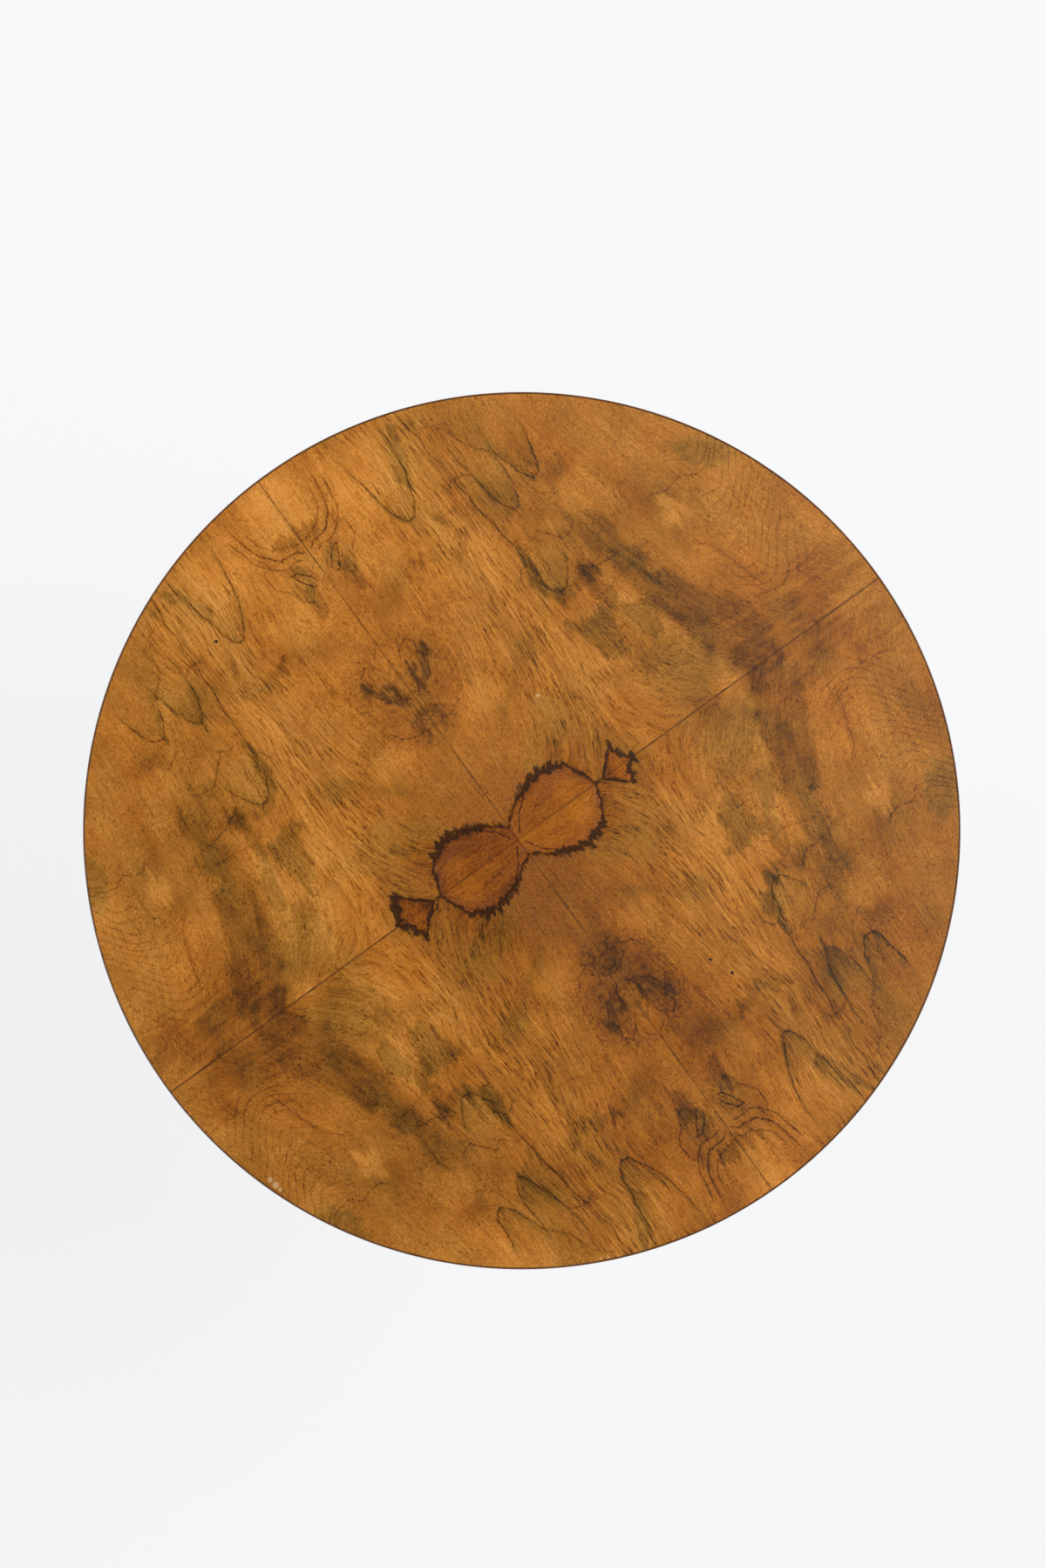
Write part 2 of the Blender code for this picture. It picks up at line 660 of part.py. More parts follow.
def build_feet(ebonised):
    """Turned bun feet, each with a spigot that is glued into the platform."""
    bulge = FOOT_BULGE_HEIGHT
    spread = FOOT_RADIUS - FOOT_SOLE_RADIUS
    shoulder = FOOT_RADIUS - FOOT_NECK_RADIUS
    tip = PLATFORM_BOTTOM + FOOT_SPIGOT_LENGTH
    outline = [(0.0, 0.0)]
    outline += arc(FOOT_SOLE_RADIUS, bulge, spread, bulge, -90.0, 0.0)
    outline += arc(FOOT_NECK_RADIUS, bulge, shoulder, FOOT_HEIGHT - bulge, 0.0, 90.0)[1:]
    outline += [(FOOT_SPIGOT_RADIUS, FOOT_HEIGHT), (FOOT_SPIGOT_RADIUS, tip), (0.0, tip)]
    mesh = mesh_of("foot", turned(outline, FOOT_SEGMENTS), ebonised)
    for i, (x, y) in enumerate(foot_places()):
        place(f"bun_foot_{i + 1}", mesh, (x, y, 0.0))


def build_table():
    clear_scene()
    walnut = finish("figured_walnut", (0.37, 0.14, 0.024), 0.38)
    dark_walnut = finish("edge_walnut", (0.16, 0.062, 0.018), 0.42)
    plain_walnut = finish("plain_walnut", (0.25, 0.105, 0.030), 0.40)
    ebonised = finish("ebonised_wood", (0.018, 0.013, 0.010), 0.30)
    softwood = finish("spruce", (0.52, 0.34, 0.16), 0.70)
    beech = finish("beech", (0.45, 0.26, 0.12), 0.60)
    brass = finish("aged_brass", (0.42, 0.28, 0.10), 0.40, 1.0)
    steel = finish("dull_steel", (0.30, 0.29, 0.28), 0.45, 1.0)

    screw_holes = build_screw_holes()
    build_face_veneer(walnut)
    build_edge_band(dark_walnut)
    build_core(softwood, screw_holes)
    build_backing_veneer(softwood, screw_holes)
    build_bearers(beech, screw_holes)
    build_head_block(plain_walnut, screw_holes)
    build_screws(brass)
    build_capital(ebonised)
    build_staves(plain_walnut)
    build_plugs(softwood)
    build_collar(ebonised)
    build_tie_rod(steel)
    dowel_holes = build_dowels(beech)
    build_step(plain_walnut, dowel_holes)
    build_platform(softwood, plain_walnut, dowel_holes, build_foot_sockets())
    build_feet(ebonised)


build_table()
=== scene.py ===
import math

import bmesh
import bpy
import numpy as np
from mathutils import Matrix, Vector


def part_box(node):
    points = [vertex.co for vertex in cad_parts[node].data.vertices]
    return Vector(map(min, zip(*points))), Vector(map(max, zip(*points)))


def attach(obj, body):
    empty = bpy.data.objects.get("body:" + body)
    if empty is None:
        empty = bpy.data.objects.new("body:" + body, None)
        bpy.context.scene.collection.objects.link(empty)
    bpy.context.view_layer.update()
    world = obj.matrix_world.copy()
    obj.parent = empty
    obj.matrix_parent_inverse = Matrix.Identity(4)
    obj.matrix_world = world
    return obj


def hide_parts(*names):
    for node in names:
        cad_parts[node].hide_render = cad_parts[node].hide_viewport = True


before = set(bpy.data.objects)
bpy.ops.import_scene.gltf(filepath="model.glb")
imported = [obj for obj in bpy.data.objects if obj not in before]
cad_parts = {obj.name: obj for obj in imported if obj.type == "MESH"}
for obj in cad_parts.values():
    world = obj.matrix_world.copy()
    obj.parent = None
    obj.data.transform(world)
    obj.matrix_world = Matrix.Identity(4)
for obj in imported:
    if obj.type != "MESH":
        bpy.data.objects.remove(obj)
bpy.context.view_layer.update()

# Platform core
# The round body of the base, glued up from softwood boards and left bare below.
# Veneer covers its top and a band its edge; a pocket under it takes the lower nut.


def display(red, green, blue):
    """A colour as a screen shows it, 0 to 255, turned into linear light for a shader."""
    level = np.array([red, green, blue]) / 255
    linear = np.where(level <= 0.04045, level / 12.92, ((level + 0.055) / 1.055) ** 2.4)
    return (*linear.tolist(), 1.0)


def wire(tree, kind, feeds=None, **settings):
    """One shader node: settings go on the node, and feeds, values or sockets, into its inputs."""
    made = tree.nodes.new(kind)
    for key, value in settings.items():
        setattr(made, key, value)
    for key, value in (feeds or {}).items():
        if isinstance(value, bpy.types.NodeSocket):
            tree.links.new(value, made.inputs[key])
        else:
            made.inputs[key].default_value = value
    return made


def calc(tree, operation, *terms, clamp=False):
    """The result of one sum on up to three values or sockets."""
    feeds = dict(enumerate(terms))
    return wire(tree, "ShaderNodeMath", feeds, operation=operation, use_clamp=clamp).outputs[0]


def ease(tree, value, low, high):
    """0 below low and 1 above high, with a smooth climb between them. Low may be the larger."""
    feeds = {"Value": value, "From Min": low, "From Max": high}
    return wire(tree, "ShaderNodeMapRange", feeds, interpolation_type="SMOOTHSTEP").outputs[0]


def ripple(tree, place, size, detail=2.0):
    """Noise from about -1 to 1, in marks of the given size in metres along x, y and z."""
    finer = tuple(1 / length for length in size)
    drawn = wire(tree, "ShaderNodeVectorMath", {0: place, 1: finer}, operation="MULTIPLY")
    feeds = {"Vector": drawn.outputs[0], "Scale": 1.0, "Detail": detail, "Roughness": 0.55}
    noise = wire(tree, "ShaderNodeTexNoise", feeds)
    return calc(tree, "MULTIPLY_ADD", noise.outputs[0], 4.0, -2.0)


def stain(tree, factor, under, over):
    """One colour laid over another by a factor from 0 to 1."""
    feeds = {0: factor, 6: under, 7: over}
    return wire(tree, "ShaderNodeMix", feeds, data_type="RGBA").outputs[2]


def palette(tree, tone, shades):
    """A colour picked by tone from shades spread evenly from 0, the darkest, to 1."""
    ramp = wire(tree, "ShaderNodeValToRGB", {0: tone})
    stops = ramp.color_ramp.elements
    while len(stops) < len(shades):
        stops.new(0.5)
    for i, shade in enumerate(shades):
        stops[i].position = i / (len(shades) - 1)
        stops[i].color = display(*shade)
    return ramp.outputs[0]


def new_finish(name, roughness, specular=0.5, metallic=0.0):
    """An empty material: its node tree, its shader and the material itself."""
    material = bpy.data.materials.new(name)
    material.use_nodes = True
    shader = material.node_tree.nodes["Principled BSDF"]
    shader.inputs["Roughness"].default_value = roughness
    shader.inputs["Specular IOR Level"].default_value = specular
    shader.inputs["Metallic"].default_value = metallic
    return material.node_tree, shader, material


def raise_grain(tree, shader, height, distance):
    """A slight relief from a height of about -1 to 1, this many metres deep."""
    bump = wire(tree, "ShaderNodeBump", {"Height": height, "Distance": distance, "Strength": 1.0})
    tree.links.new(bump.outputs[0], shader.inputs["Normal"])


def wood_finish(name, shades, bands, fibres, flecks, fleck_shade, roughness, shift=(0.0, 0.0, 0.0)):
    """Plain wood. Growth bands and fine fibres, each (size, weight) and drawn out along the grain,
    add up to a tone that picks from the shades. Short dark flecks lie over it, and fibres roughen it.
    """
    tree, shader, material = new_finish(name, roughness)
    here = wire(tree, "ShaderNodeTexCoord").outputs["Object"]
    place = wire(tree, "ShaderNodeVectorMath", {0: here, 1: shift}, operation="ADD").outputs[0]
    band = ripple(tree, place, bands[0], 3.0)
    fibre = ripple(tree, place, fibres[0], 2.0)
    tone = calc(tree, "MULTIPLY_ADD", band, bands[1], 0.5)
    tone = calc(tree, "MULTIPLY_ADD", fibre, fibres[1], tone)
    fleck = ease(tree, ripple(tree, place, flecks[0], 1.0), 0.35, 0.75)
    cover = calc(tree, "MULTIPLY", fleck, flecks[1])
    colour = stain(tree, cover, palette(tree, tone, shades), display(*fleck_shade))
    tree.links.new(colour, shader.inputs["Base Color"])
    rough = calc(tree, "MULTIPLY_ADD", fibre, 0.07, roughness)
    tree.links.new(rough, shader.inputs["Roughness"])
    raise_grain(tree, shader, calc(tree, "SUBTRACT", fibre, fleck), 0.00008)
    return material


def grain_axes(across, along):
    """A function that turns sizes across, through and along the grain into sizes along x, y and z."""

    def size(wide, deep, long):
        return tuple(wide if axis in across else long if axis == along else deep for axis in "xyz")

    return size


def dress(node, material):
    """Gives a finish to a CAD node that is shown as it is."""
    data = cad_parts[node].data
    data.materials.clear()
    data.materials.append(material)


SPRUCE_SHADES = ((150, 104, 58), (186, 142, 90), (208, 168, 116), (220, 184, 134))
SPRUCE_FLECK = (128, 86, 48)


def spruce_finish(name, across, along, shift=(0.0, 0.0, 0.0)):
    """Bare aged softwood: late-wood lines a few millimetres apart. Across and along are grain axes."""
    size = grain_axes(across, along)
    bands = (size(0.0032, 0.03, 0.7), 0.30)
    fibres = (size(0.0007, 0.004, 0.05), 0.10)
    flecks = (size(0.0011, 0.006, 0.012), 0.25)
    return wood_finish(name, SPRUCE_SHADES, bands, fibres, flecks, SPRUCE_FLECK, 0.68, shift)


dress("platform_core", spruce_finish("spruce_platform", "y", "x"))

# Platform veneer and band
# Straight-grained walnut: a sheet glued on top of the platform and a strip bent round its edge.
# Both are scraped flush with each other, and their common arris is eased with fine paper.

ROD_BORE = 0.0066
GLUE_LINE = 0.0003
PLATFORM_EASING = 0.0005
PLATFORM_SIDES = 256
SMOOTH_ANGLE = math.radians(32.0)


def put_mesh(name, points, faces):
    """A smooth mesh object at the origin, with sharp edges kept, from arrays of points and faces."""
    mesh = bpy.data.meshes.new(name)
    mesh.from_pydata(points.tolist(), [], faces)
    mesh.validate()
    mesh.shade_smooth()
    mesh.set_sharp_from_angle(angle=SMOOTH_ANGLE)
    piece = bpy.data.objects.new(name, mesh)
    bpy.context.scene.collection.objects.link(piece)
    return piece


def settle(piece, node, material):
    """The piece takes its finish, stands for its CAD node and goes with the table's one body."""
    piece.data.materials.append(material)
    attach(piece, "root")
    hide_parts(node)


def eased(outline, size):
    """A closed outline whose sharp corners become small curves: each corner point gives way to a
    parabola between the points that lie one size, or half an edge, before and after it."""
    outline = np.asarray(outline, float)
    back = np.roll(outline, 1, 0) - outline
    ahead = np.roll(outline, -1, 0) - outline
    back_length = np.linalg.norm(back, axis=1, keepdims=True)
    ahead_length = np.linalg.norm(ahead, axis=1, keepdims=True)
    back, ahead = back / back_length, ahead / ahead_length
    sharp = (back * ahead).sum(1) > -math.cos(SMOOTH_ANGLE)
    start = outline + back * np.minimum(size, back_length / 2)
    end = outline + ahead * np.minimum(size, ahead_length / 2)
    share = np.linspace(0, 1, 5)[:, None]
    curves = [
        (1 - share) ** 2 * start[i] + 2 * share * (1 - share) * outline[i] + share**2 * end[i]
        if sharp[i] and outline[i][0] > 0
        else outline[i : i + 1]
        for i in range(len(outline))
    ]
    return np.concatenate(curves)


def ring_faces(rings, sides, closed=False):
    """Four-sided faces between each ring of points and the next, and from the last ring to the first
    where the surface closes on itself."""
    row = np.arange(rings if closed else rings - 1)[:, None]
    after = (row + 1) % rings
    column = np.arange(sides)[None, :]
    beside = (column + 1) % sides
    corners = [row * sides + column, row * sides + beside, after * sides + beside, after * sides + column]
    return np.stack(corners, -1).reshape(-1, 4).tolist()


def turned(name, outline, sides, centre=(0.0, 0.0)):
    """A surface of revolution. Each outline point (radius, height) goes round the centre in even
    steps. An outline that starts and ends on the axis is closed there by a fan of triangles."""
    outline = np.asarray(outline, float)
    solid = outline[0, 0] == 0 and outline[-1, 0] == 0
    rings = outline[1:-1] if solid else outline
    angle = np.arange(sides) * math.tau / sides
    x = centre[0] + rings[:, :1] * np.cos(angle)
    y = centre[1] + rings[:, :1] * np.sin(angle)
    z = np.broadcast_to(rings[:, 1:], x.shape)
    points = np.stack([x, y, z], -1).reshape(-1, 3)
    faces = ring_faces(len(rings), sides, closed=not solid)
    if solid:
        low_pole, high_pole = len(points), len(points) + 1
        poles = np.array([[*centre, outline[0, 1]], [*centre, outline[-1, 1]]])
        points = np.concatenate([points, poles])
        ring = np.arange(sides)
        last = (len(rings) - 1) * sides
        faces += np.stack([ring * 0 + low_pole, (ring + 1) % sides, ring], -1).tolist()
        faces += np.stack([ring * 0 + high_pole, last + ring, last + (ring + 1) % sides], -1).tolist()
    return put_mesh(name, points, faces)


def ring_outline(inner, outer, low, high):
    """The closed outline of a flat ring, from its inner lower corner round by the outside."""
    return [(inner, low), (outer, low), (outer, high), (inner, high)]


WALNUT_SHADES = ((70, 38, 16), (106, 62, 26), (138, 86, 38), (163, 106, 52), (184, 126, 68))
WALNUT_PORE = (58, 31, 14)


def walnut_finish(name, across, along, shift=(0.0, 0.0, 0.0), shades=WALNUT_SHADES, roughness=0.4):
    """Polished straight-grained walnut: soft dark bands, fine fibres and open pores along the grain."""
    size = grain_axes(across, along)
    bands = (size(0.007, 0.03, 0.42), 0.22)
    fibres = (size(0.0009, 0.004, 0.035), 0.12)
    flecks = (size(0.0006, 0.003, 0.008), 0.55)
    return wood_finish(name, shades, bands, fibres, flecks, WALNUT_PORE, roughness, shift)


core_low, core_high = np.array(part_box("platform_core"))
veneer_low, veneer_high = np.array(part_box("platform_veneer"))
band_low, band_high = np.array(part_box("platform_band"))
veneer_outline = ring_outline(ROD_BORE, veneer_high[0], veneer_low[2], veneer_high[2])
platform_veneer = turned("platform_veneer_sheet", veneer_outline, PLATFORM_SIDES)
settle(platform_veneer, "platform_veneer", walnut_finish("walnut_platform", "y", "x"))
band_outline = ring_outline(core_high[0] + GLUE_LINE, band_high[0], band_low[2], band_high[2])
platform_band = turned("platform_edge_strip", eased(band_outline, PLATFORM_EASING), PLATFORM_SIDES)
settle(platform_band, "platform_band", walnut_finish("walnut_platform_edge", "z", "x"))

# Bun feet
# Four flattened balls turned from beech, stained black and polished, each on its own spigot.
# The spigots are glued into sockets in the platform, and the soles are cut flat.

FOOT_SOLE = 0.025
FOOT_NECK = 0.022
FOOT_BULGE_HEIGHT = 0.015
FOOT_SPIGOT = 0.011
FOOT_SIDES = 96


def arc(centre, radii, start, end, steps=20):
    """Points (radius, height) of an elliptical arc from one angle in degrees to another."""
    angle = np.radians(np.linspace(start, end, steps + 1))
    return np.stack([centre[0] + radii[0] * np.cos(angle), centre[1] + radii[1] * np.sin(angle)], -1)


EBONISED_SHADES = ((10, 8, 8), (24, 19, 17), (36, 28, 24), (56, 41, 32))
EBONISED_PORE = (8, 6, 6)


def ebonised_finish(name, shift=(0.0, 0.0, 0.0)):
    """Black-stained turned wood under polish: the grain, upright, shows as faint brown and relief."""
    bands = ((0.010, 0.010, 0.12), 0.20)
    fibres = ((0.0009, 0.0009, 0.02), 0.14)
    flecks = ((0.0007, 0.0007, 0.005), 0.6)
    return wood_finish(name, EBONISED_SHADES, bands, fibres, flecks, EBONISED_PORE, 0.3, shift)


ebonised_foot = ebonised_finish("ebonised_feet")
foot_height = core_low[2] - GLUE_LINE
for i in range(4):
    foot_low, foot_high = np.array(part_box(f"bun_foot_{i + 1}"))
    foot_centre = (foot_low[:2] + foot_high[:2]) / 2
    foot_radius = (foot_high[0] - foot_low[0]) / 2
    lower_radii = (foot_radius - FOOT_SOLE, FOOT_BULGE_HEIGHT)
    lower = arc((FOOT_SOLE, FOOT_BULGE_HEIGHT), lower_radii, -90, 0)
    upper_radii = (foot_radius - FOOT_NECK, foot_height - FOOT_BULGE_HEIGHT)
    upper = arc((FOOT_NECK, FOOT_BULGE_HEIGHT), upper_radii, 0, 90)
    spigot = [(FOOT_SPIGOT, foot_height), (FOOT_SPIGOT, foot_high[2]), (0.0, foot_high[2])]
    outline = np.concatenate([[(0.0, 0.0)], lower, upper[1:], spigot])
    foot = turned(f"bun_foot_turning_{i + 1}", outline, FOOT_SIDES, foot_centre)
    settle(foot, f"bun_foot_{i + 1}", ebonised_foot)

# Dowels and base step
# A walnut disc turned with a fillet and a quarter-round, on the middle of the platform.
# Two hidden beech dowels keep it from turning, and the tie rod pulls it down.

BEECH_SHADES = ((150, 100, 62), (178, 128, 84), (196, 148, 102), (208, 164, 118))
BEECH_RAY = (128, 78, 46)


def beech_finish(name, across, along, shift=(0.0, 0.0, 0.0)):
    """Bare planed beech: an even tan with short dark rays along the grain."""
    size = grain_axes(across, along)
    bands = (size(0.012, 0.05, 0.5), 0.14)
    fibres = (size(0.0009, 0.004, 0.05), 0.10)
    flecks = (size(0.0006, 0.002, 0.0035), 0.6)
    return wood_finish(name, BEECH_SHADES, bands, fibres, flecks, BEECH_RAY, 0.6, shift)


beech_dowel = beech_finish("beech_dowels", "x", "z")
dress("dowel_1", beech_dowel)
dress("dowel_2", beech_dowel)

STEP_ROUND = 0.014
STEP_FILLET = 0.003
TURNED_SIDES = 192
TURNED_EASING = 0.0006

step_low, step_high = np.array(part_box("base_step"))
round_low = step_high[2] - STEP_ROUND
round_middle = step_high[0] - STEP_FILLET - STEP_ROUND
step_outline = np.concatenate(
    [
        [(ROD_BORE, step_low[2]), (step_high[0], step_low[2])],
        [(step_high[0], round_low), (step_high[0] - STEP_FILLET, round_low)],
        arc((round_middle, round_low), (STEP_ROUND, STEP_ROUND), 0, 90)[1:],
        [(ROD_BORE, step_high[2])],
    ]
)
base_step = turned("base_step_turning", eased(step_outline, TURNED_EASING), TURNED_SIDES)
settle(base_step, "base_step", walnut_finish("walnut_step", "y", "x", (0.3, 0.1, 0.0)))

# Collar
# A turned ring between step and column, stained black: a roll below and a cove above it.
# A socket in its top takes the spigot of the column's lower plug.

COLLAR_ROLL = 0.007
COLLAR_COVE = (0.010, 0.007)
SPIGOT_SOCKET = 0.0203
SPIGOT_DEPTH = 0.008

collar_low, collar_high = np.array(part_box("collar"))
roll_middle = collar_high[0] - COLLAR_ROLL
socket_floor = collar_high[2] - SPIGOT_DEPTH
collar_outline = np.concatenate(
    [
        [(ROD_BORE, collar_low[2])],
        arc((roll_middle, collar_low[2] + COLLAR_ROLL), (COLLAR_ROLL, COLLAR_ROLL), -90, 90),
        arc((roll_middle, collar_high[2]), COLLAR_COVE, 270, 180),
        [(SPIGOT_SOCKET, collar_high[2]), (SPIGOT_SOCKET, socket_floor), (ROD_BORE, socket_floor)],
    ]
)
ebonised_ring = ebonised_finish("ebonised_rings", (0.05, 0.11, 0.0))
collar = turned("collar_turning", eased(collar_outline, TURNED_EASING), TURNED_SIDES)
settle(collar, "collar", ebonised_ring)

# Column
# Eight tapered walnut staves, mitred and glued round two softwood plugs into a hollow octagon.
# The long arrises are rubbed down a little, so each joint shows as a fine line.

STAVE_COUNT = 8
STAVE_THICKNESS = 0.018
STAVE_EASING = 0.0009
STAVE_STEPS = 24
COLUMN_WIDTH_HIGH = 0.092

spruce_plug = spruce_finish("spruce_plugs", "x", "z")
dress("column_plug_low", spruce_plug)
dress("column_plug_high", spruce_plug)


def stave_outline(apothem):
    """A mitred stave across +X, seen from above, with its two outer arrises eased."""
    half_angle = math.pi / STAVE_COUNT
    inset = GLUE_LINE / 2 / math.cos(half_angle)
    inner = apothem - STAVE_THICKNESS
    wide = apothem * math.tan(half_angle) - inset
    narrow = inner * math.tan(half_angle) - inset
    return eased([(inner, -narrow), (apothem, -wide), (apothem, wide), (inner, narrow)], STAVE_EASING)


def capped_faces(rings, sides):
    """Faces of a stack of rings, with one flat face at either end."""
    ends = [np.arange(sides)[::-1].tolist(), ((rings - 1) * sides + np.arange(sides)).tolist()]
    return ring_faces(rings, sides) + ends


def drawn(name, low_outline, high_outline, low, high, steps, turn):
    """A solid that runs straight from a lower to an upper outline with as many points, turned
    about the upright axis: every ring is a mix of the two by its height."""
    share = np.linspace(0, 1, steps + 1)[:, None, None]
    rings = (1 - share) * low_outline + share * high_outline
    x = rings[..., 0] * math.cos(turn) - rings[..., 1] * math.sin(turn)
    y = rings[..., 0] * math.sin(turn) + rings[..., 1] * math.cos(turn)
    z = np.broadcast_to(low + (high - low) * share[..., 0], x.shape)
    points = np.stack([x, y, z], -1).reshape(-1, 3)
    return put_mesh(name, points, capped_faces(steps + 1, len(low_outline)))


stave_low, stave_high = np.array(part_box("column_stave_1"))
low_apothem = stave_high[0]
for i in range(STAVE_COUNT):
    stave = drawn(
        f"column_stave_board_{i + 1}",
        stave_outline(low_apothem),
        stave_outline(COLUMN_WIDTH_HIGH / 2),
        stave_low[2],
        stave_high[2],
        STAVE_STEPS,
        math.tau * i / STAVE_COUNT,
    )
    stave_walnut = walnut_finish(f"walnut_stave_{i + 1}", "xy", "z", (0.37 * i, 0.23 * i, 0.61 * i))
    settle(stave, f"column_stave_{i + 1}", stave_walnut)

# Capital
# A turned cap, stained black, that flares from the column up to the head block.
# It is socketed over the spigot of the upper plug and held by the tie rod alone.

CAPITAL_COVE = (0.015, 0.014)

capital_low, capital_high = np.array(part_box("capital"))
socket_top = capital_low[2] + SPIGOT_DEPTH
capital_outline = np.concatenate(
    [
        [(SPIGOT_SOCKET, capital_low[2])],
        arc((capital_high[0], capital_low[2]), CAPITAL_COVE, 180, 90),
        [(capital_high[0], capital_high[2]), (ROD_BORE, capital_high[2])],
        [(ROD_BORE, socket_top), (SPIGOT_SOCKET, socket_top)],
    ]
)
capital = turned("capital_turning", eased(capital_outline, TURNED_EASING), TURNED_SIDES)
settle(capital, "capital", ebonised_ring)

# Head block
# A square of thick walnut, chamfered below, that carries the top on the column.
# A pocket in its upper face hides the nut, and four screws hold the top on it.

BLOCK_EASING = 0.0012
FLAT_ANGLE = math.radians(1.0)
MERGE_DISTANCE = 1e-6


def eased_copy(name, node, width):
    """A copy of a CAD node with its triangles merged into flat faces and its arrises rounded."""
    mesh = bpy.data.meshes.new(name)
    bm = bmesh.new()
    bm.from_mesh(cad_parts[node].data)
    bmesh.ops.remove_doubles(bm, verts=bm.verts, dist=MERGE_DISTANCE)
    bmesh.ops.dissolve_limit(bm, angle_limit=FLAT_ANGLE, verts=bm.verts, edges=bm.edges)
    bm.to_mesh(mesh)
    bm.free()
    piece = bpy.data.objects.new(name, mesh)
    bpy.context.scene.collection.objects.link(piece)
    mesh.shade_smooth()
    mesh.set_sharp_from_angle(angle=SMOOTH_ANGLE)
    bevel = piece.modifiers.new("eased arrises", "BEVEL")
    bevel.width = width
    bevel.segments = 2
    bevel.limit_method = "ANGLE"
    bevel.angle_limit = SMOOTH_ANGLE
    return piece


head_block = eased_copy("head_block_planed", "head_block", BLOCK_EASING)
settle(head_block, "head_block", walnut_finish("walnut_block", "y", "x", (0.9, 0.4, 0.2)))

# Tie rod, washers and nuts
# A mild steel rod, threaded at both ends, clamps head block, column and base together.
# Its lower nut and washer sit in a pocket under the platform, the upper ones in the head block.

THREAD_PITCH = 0.00175
THREAD_DEPTH = 0.0009
THREAD_LENGTH = 0.022
THREAD_ROWS = 96
ROD_SIDES = 48
WASHER_EASING = 0.0004
NUT_EASING = 0.0006


def metal_finish(name, bright, dull, roughness):
    """Old metal: bright and dull patches, with a roughness that follows them."""
    tree, shader, material = new_finish(name, roughness, metallic=1.0)
    place = wire(tree, "ShaderNodeTexCoord").outputs["Object"]
    cloud = ripple(tree, place, (0.004, 0.004, 0.004), 4.0)
    scratch = ripple(tree, place, (0.0004, 0.003, 0.0004), 1.0)
    worn = ease(tree, calc(tree, "MULTIPLY_ADD", scratch, 0.3, cloud), -0.6, 0.7)
    tree.links.new(stain(tree, worn, display(*dull), display(*bright)), shader.inputs["Base Color"])
    rough = calc(tree, "MULTIPLY_ADD", worn, -0.2, roughness + 0.1)
    tree.links.new(rough, shader.inputs["Roughness"])
    raise_grain(tree, shader, cloud, 0.00005)
    return material


def threaded_rod(name, radius, low, high):
    """A rod with a screw thread at both ends: the radius is a triangle wave of height over pitch
    less turn, so that each ridge climbs one pitch in a full turn, and is plain in the middle."""
    ends = np.linspace(0, THREAD_LENGTH, THREAD_ROWS)
    height = np.concatenate([low + ends, high - ends[::-1]])[:, None]
    angle = (np.arange(ROD_SIDES) * math.tau / ROD_SIDES)[None, :]
    climb = height / THREAD_PITCH - angle / math.tau
    ridge = np.abs(2 * (climb - np.floor(climb)) - 1)
    depth = THREAD_DEPTH * np.clip(np.minimum(height - low, high - height) / THREAD_PITCH, 0.4, 1)
    inner = np.minimum(height - low, high - height) > THREAD_LENGTH - THREAD_PITCH / 2
    reach = np.where(inner, radius, radius - depth * ridge)
    x, y = reach * np.cos(angle), reach * np.sin(angle)
    points = np.stack([x, y, np.broadcast_to(height, x.shape)], -1).reshape(-1, 3)
    return put_mesh(name, points, capped_faces(len(height), ROD_SIDES))


steel = metal_finish("dull_steel", (150, 146, 140), (84, 78, 72), 0.42)
rod_low, rod_high = np.array(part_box("tie_rod"))
tie_rod = threaded_rod("tie_rod_threaded", rod_high[0], rod_low[2], rod_high[2])
settle(tie_rod, "tie_rod", steel)
for end in ("low", "high"):
    washer_low, washer_high = np.array(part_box(f"washer_{end}"))
    outline = ring_outline(ROD_BORE, washer_high[0], washer_low[2], washer_high[2])
    washer = turned(f"washer_{end}_ring", eased(outline, WASHER_EASING), FOOT_SIDES)
    settle(washer, f"washer_{end}", steel)
    nut = eased_copy(f"nut_{end}_hexagon", f"nut_{end}", NUT_EASING)
    settle(nut, f"nut_{end}", steel)

# Core boards and backing veneer
# Five softwood boards glued edge to edge make the flat body of the top, out of sight.
# A plain sheet under them balances the pull of the face veneer and is left bare.

TOP_SIDES = 384

for i in range(5):
    board_finish = spruce_finish(f"spruce_board_{i + 1}", "x", "y", (0.2 * i, 0.7 * i, 0.0))
    dress(f"core_board_{i + 1}", board_finish)

backing_low, backing_high = np.array(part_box("backing_veneer"))
backing_outline = [
    (0.0, backing_low[2]),
    (backing_high[0], backing_low[2]),
    (backing_high[0], backing_high[2]),
    (0.0, backing_high[2]),
]
backing = turned("backing_veneer_sheet", backing_outline, TOP_SIDES)
settle(backing, "backing_veneer", spruce_finish("spruce_backing", "x", "y", (1.7, 0.3, 0.0)))

# Bearers
# Two beech battens screwed across the boards, thinned towards their ends.
# They keep the glued-up top from cupping and leave room for the head block between them.

BEARER_EASING = 0.0010

for i, end in enumerate(("front", "back")):
    bearer = eased_copy(f"bearer_{end}_planed", f"bearer_{end}", BEARER_EASING)
    settle(bearer, f"bearer_{end}", beech_finish(f"beech_bearer_{end}", "y", "x", (i, 0.0, 0.0)))

# Screws
# Countersunk brass wood screws, driven upwards through bearers and head block into the core.
# Each slot stopped where its screw came tight, so no two point the same way.

SCREW_SIDES = 32
SCREW_HEAD_RIM = 0.0006
SCREW_HEAD_CONE = 0.0035
SCREW_SHANK = 0.0023
SCREW_POINT = 0.005
SLOT_WIDTH = 0.0010
SLOT_DEPTH = 0.0012
SLOT_TURN = 2.4


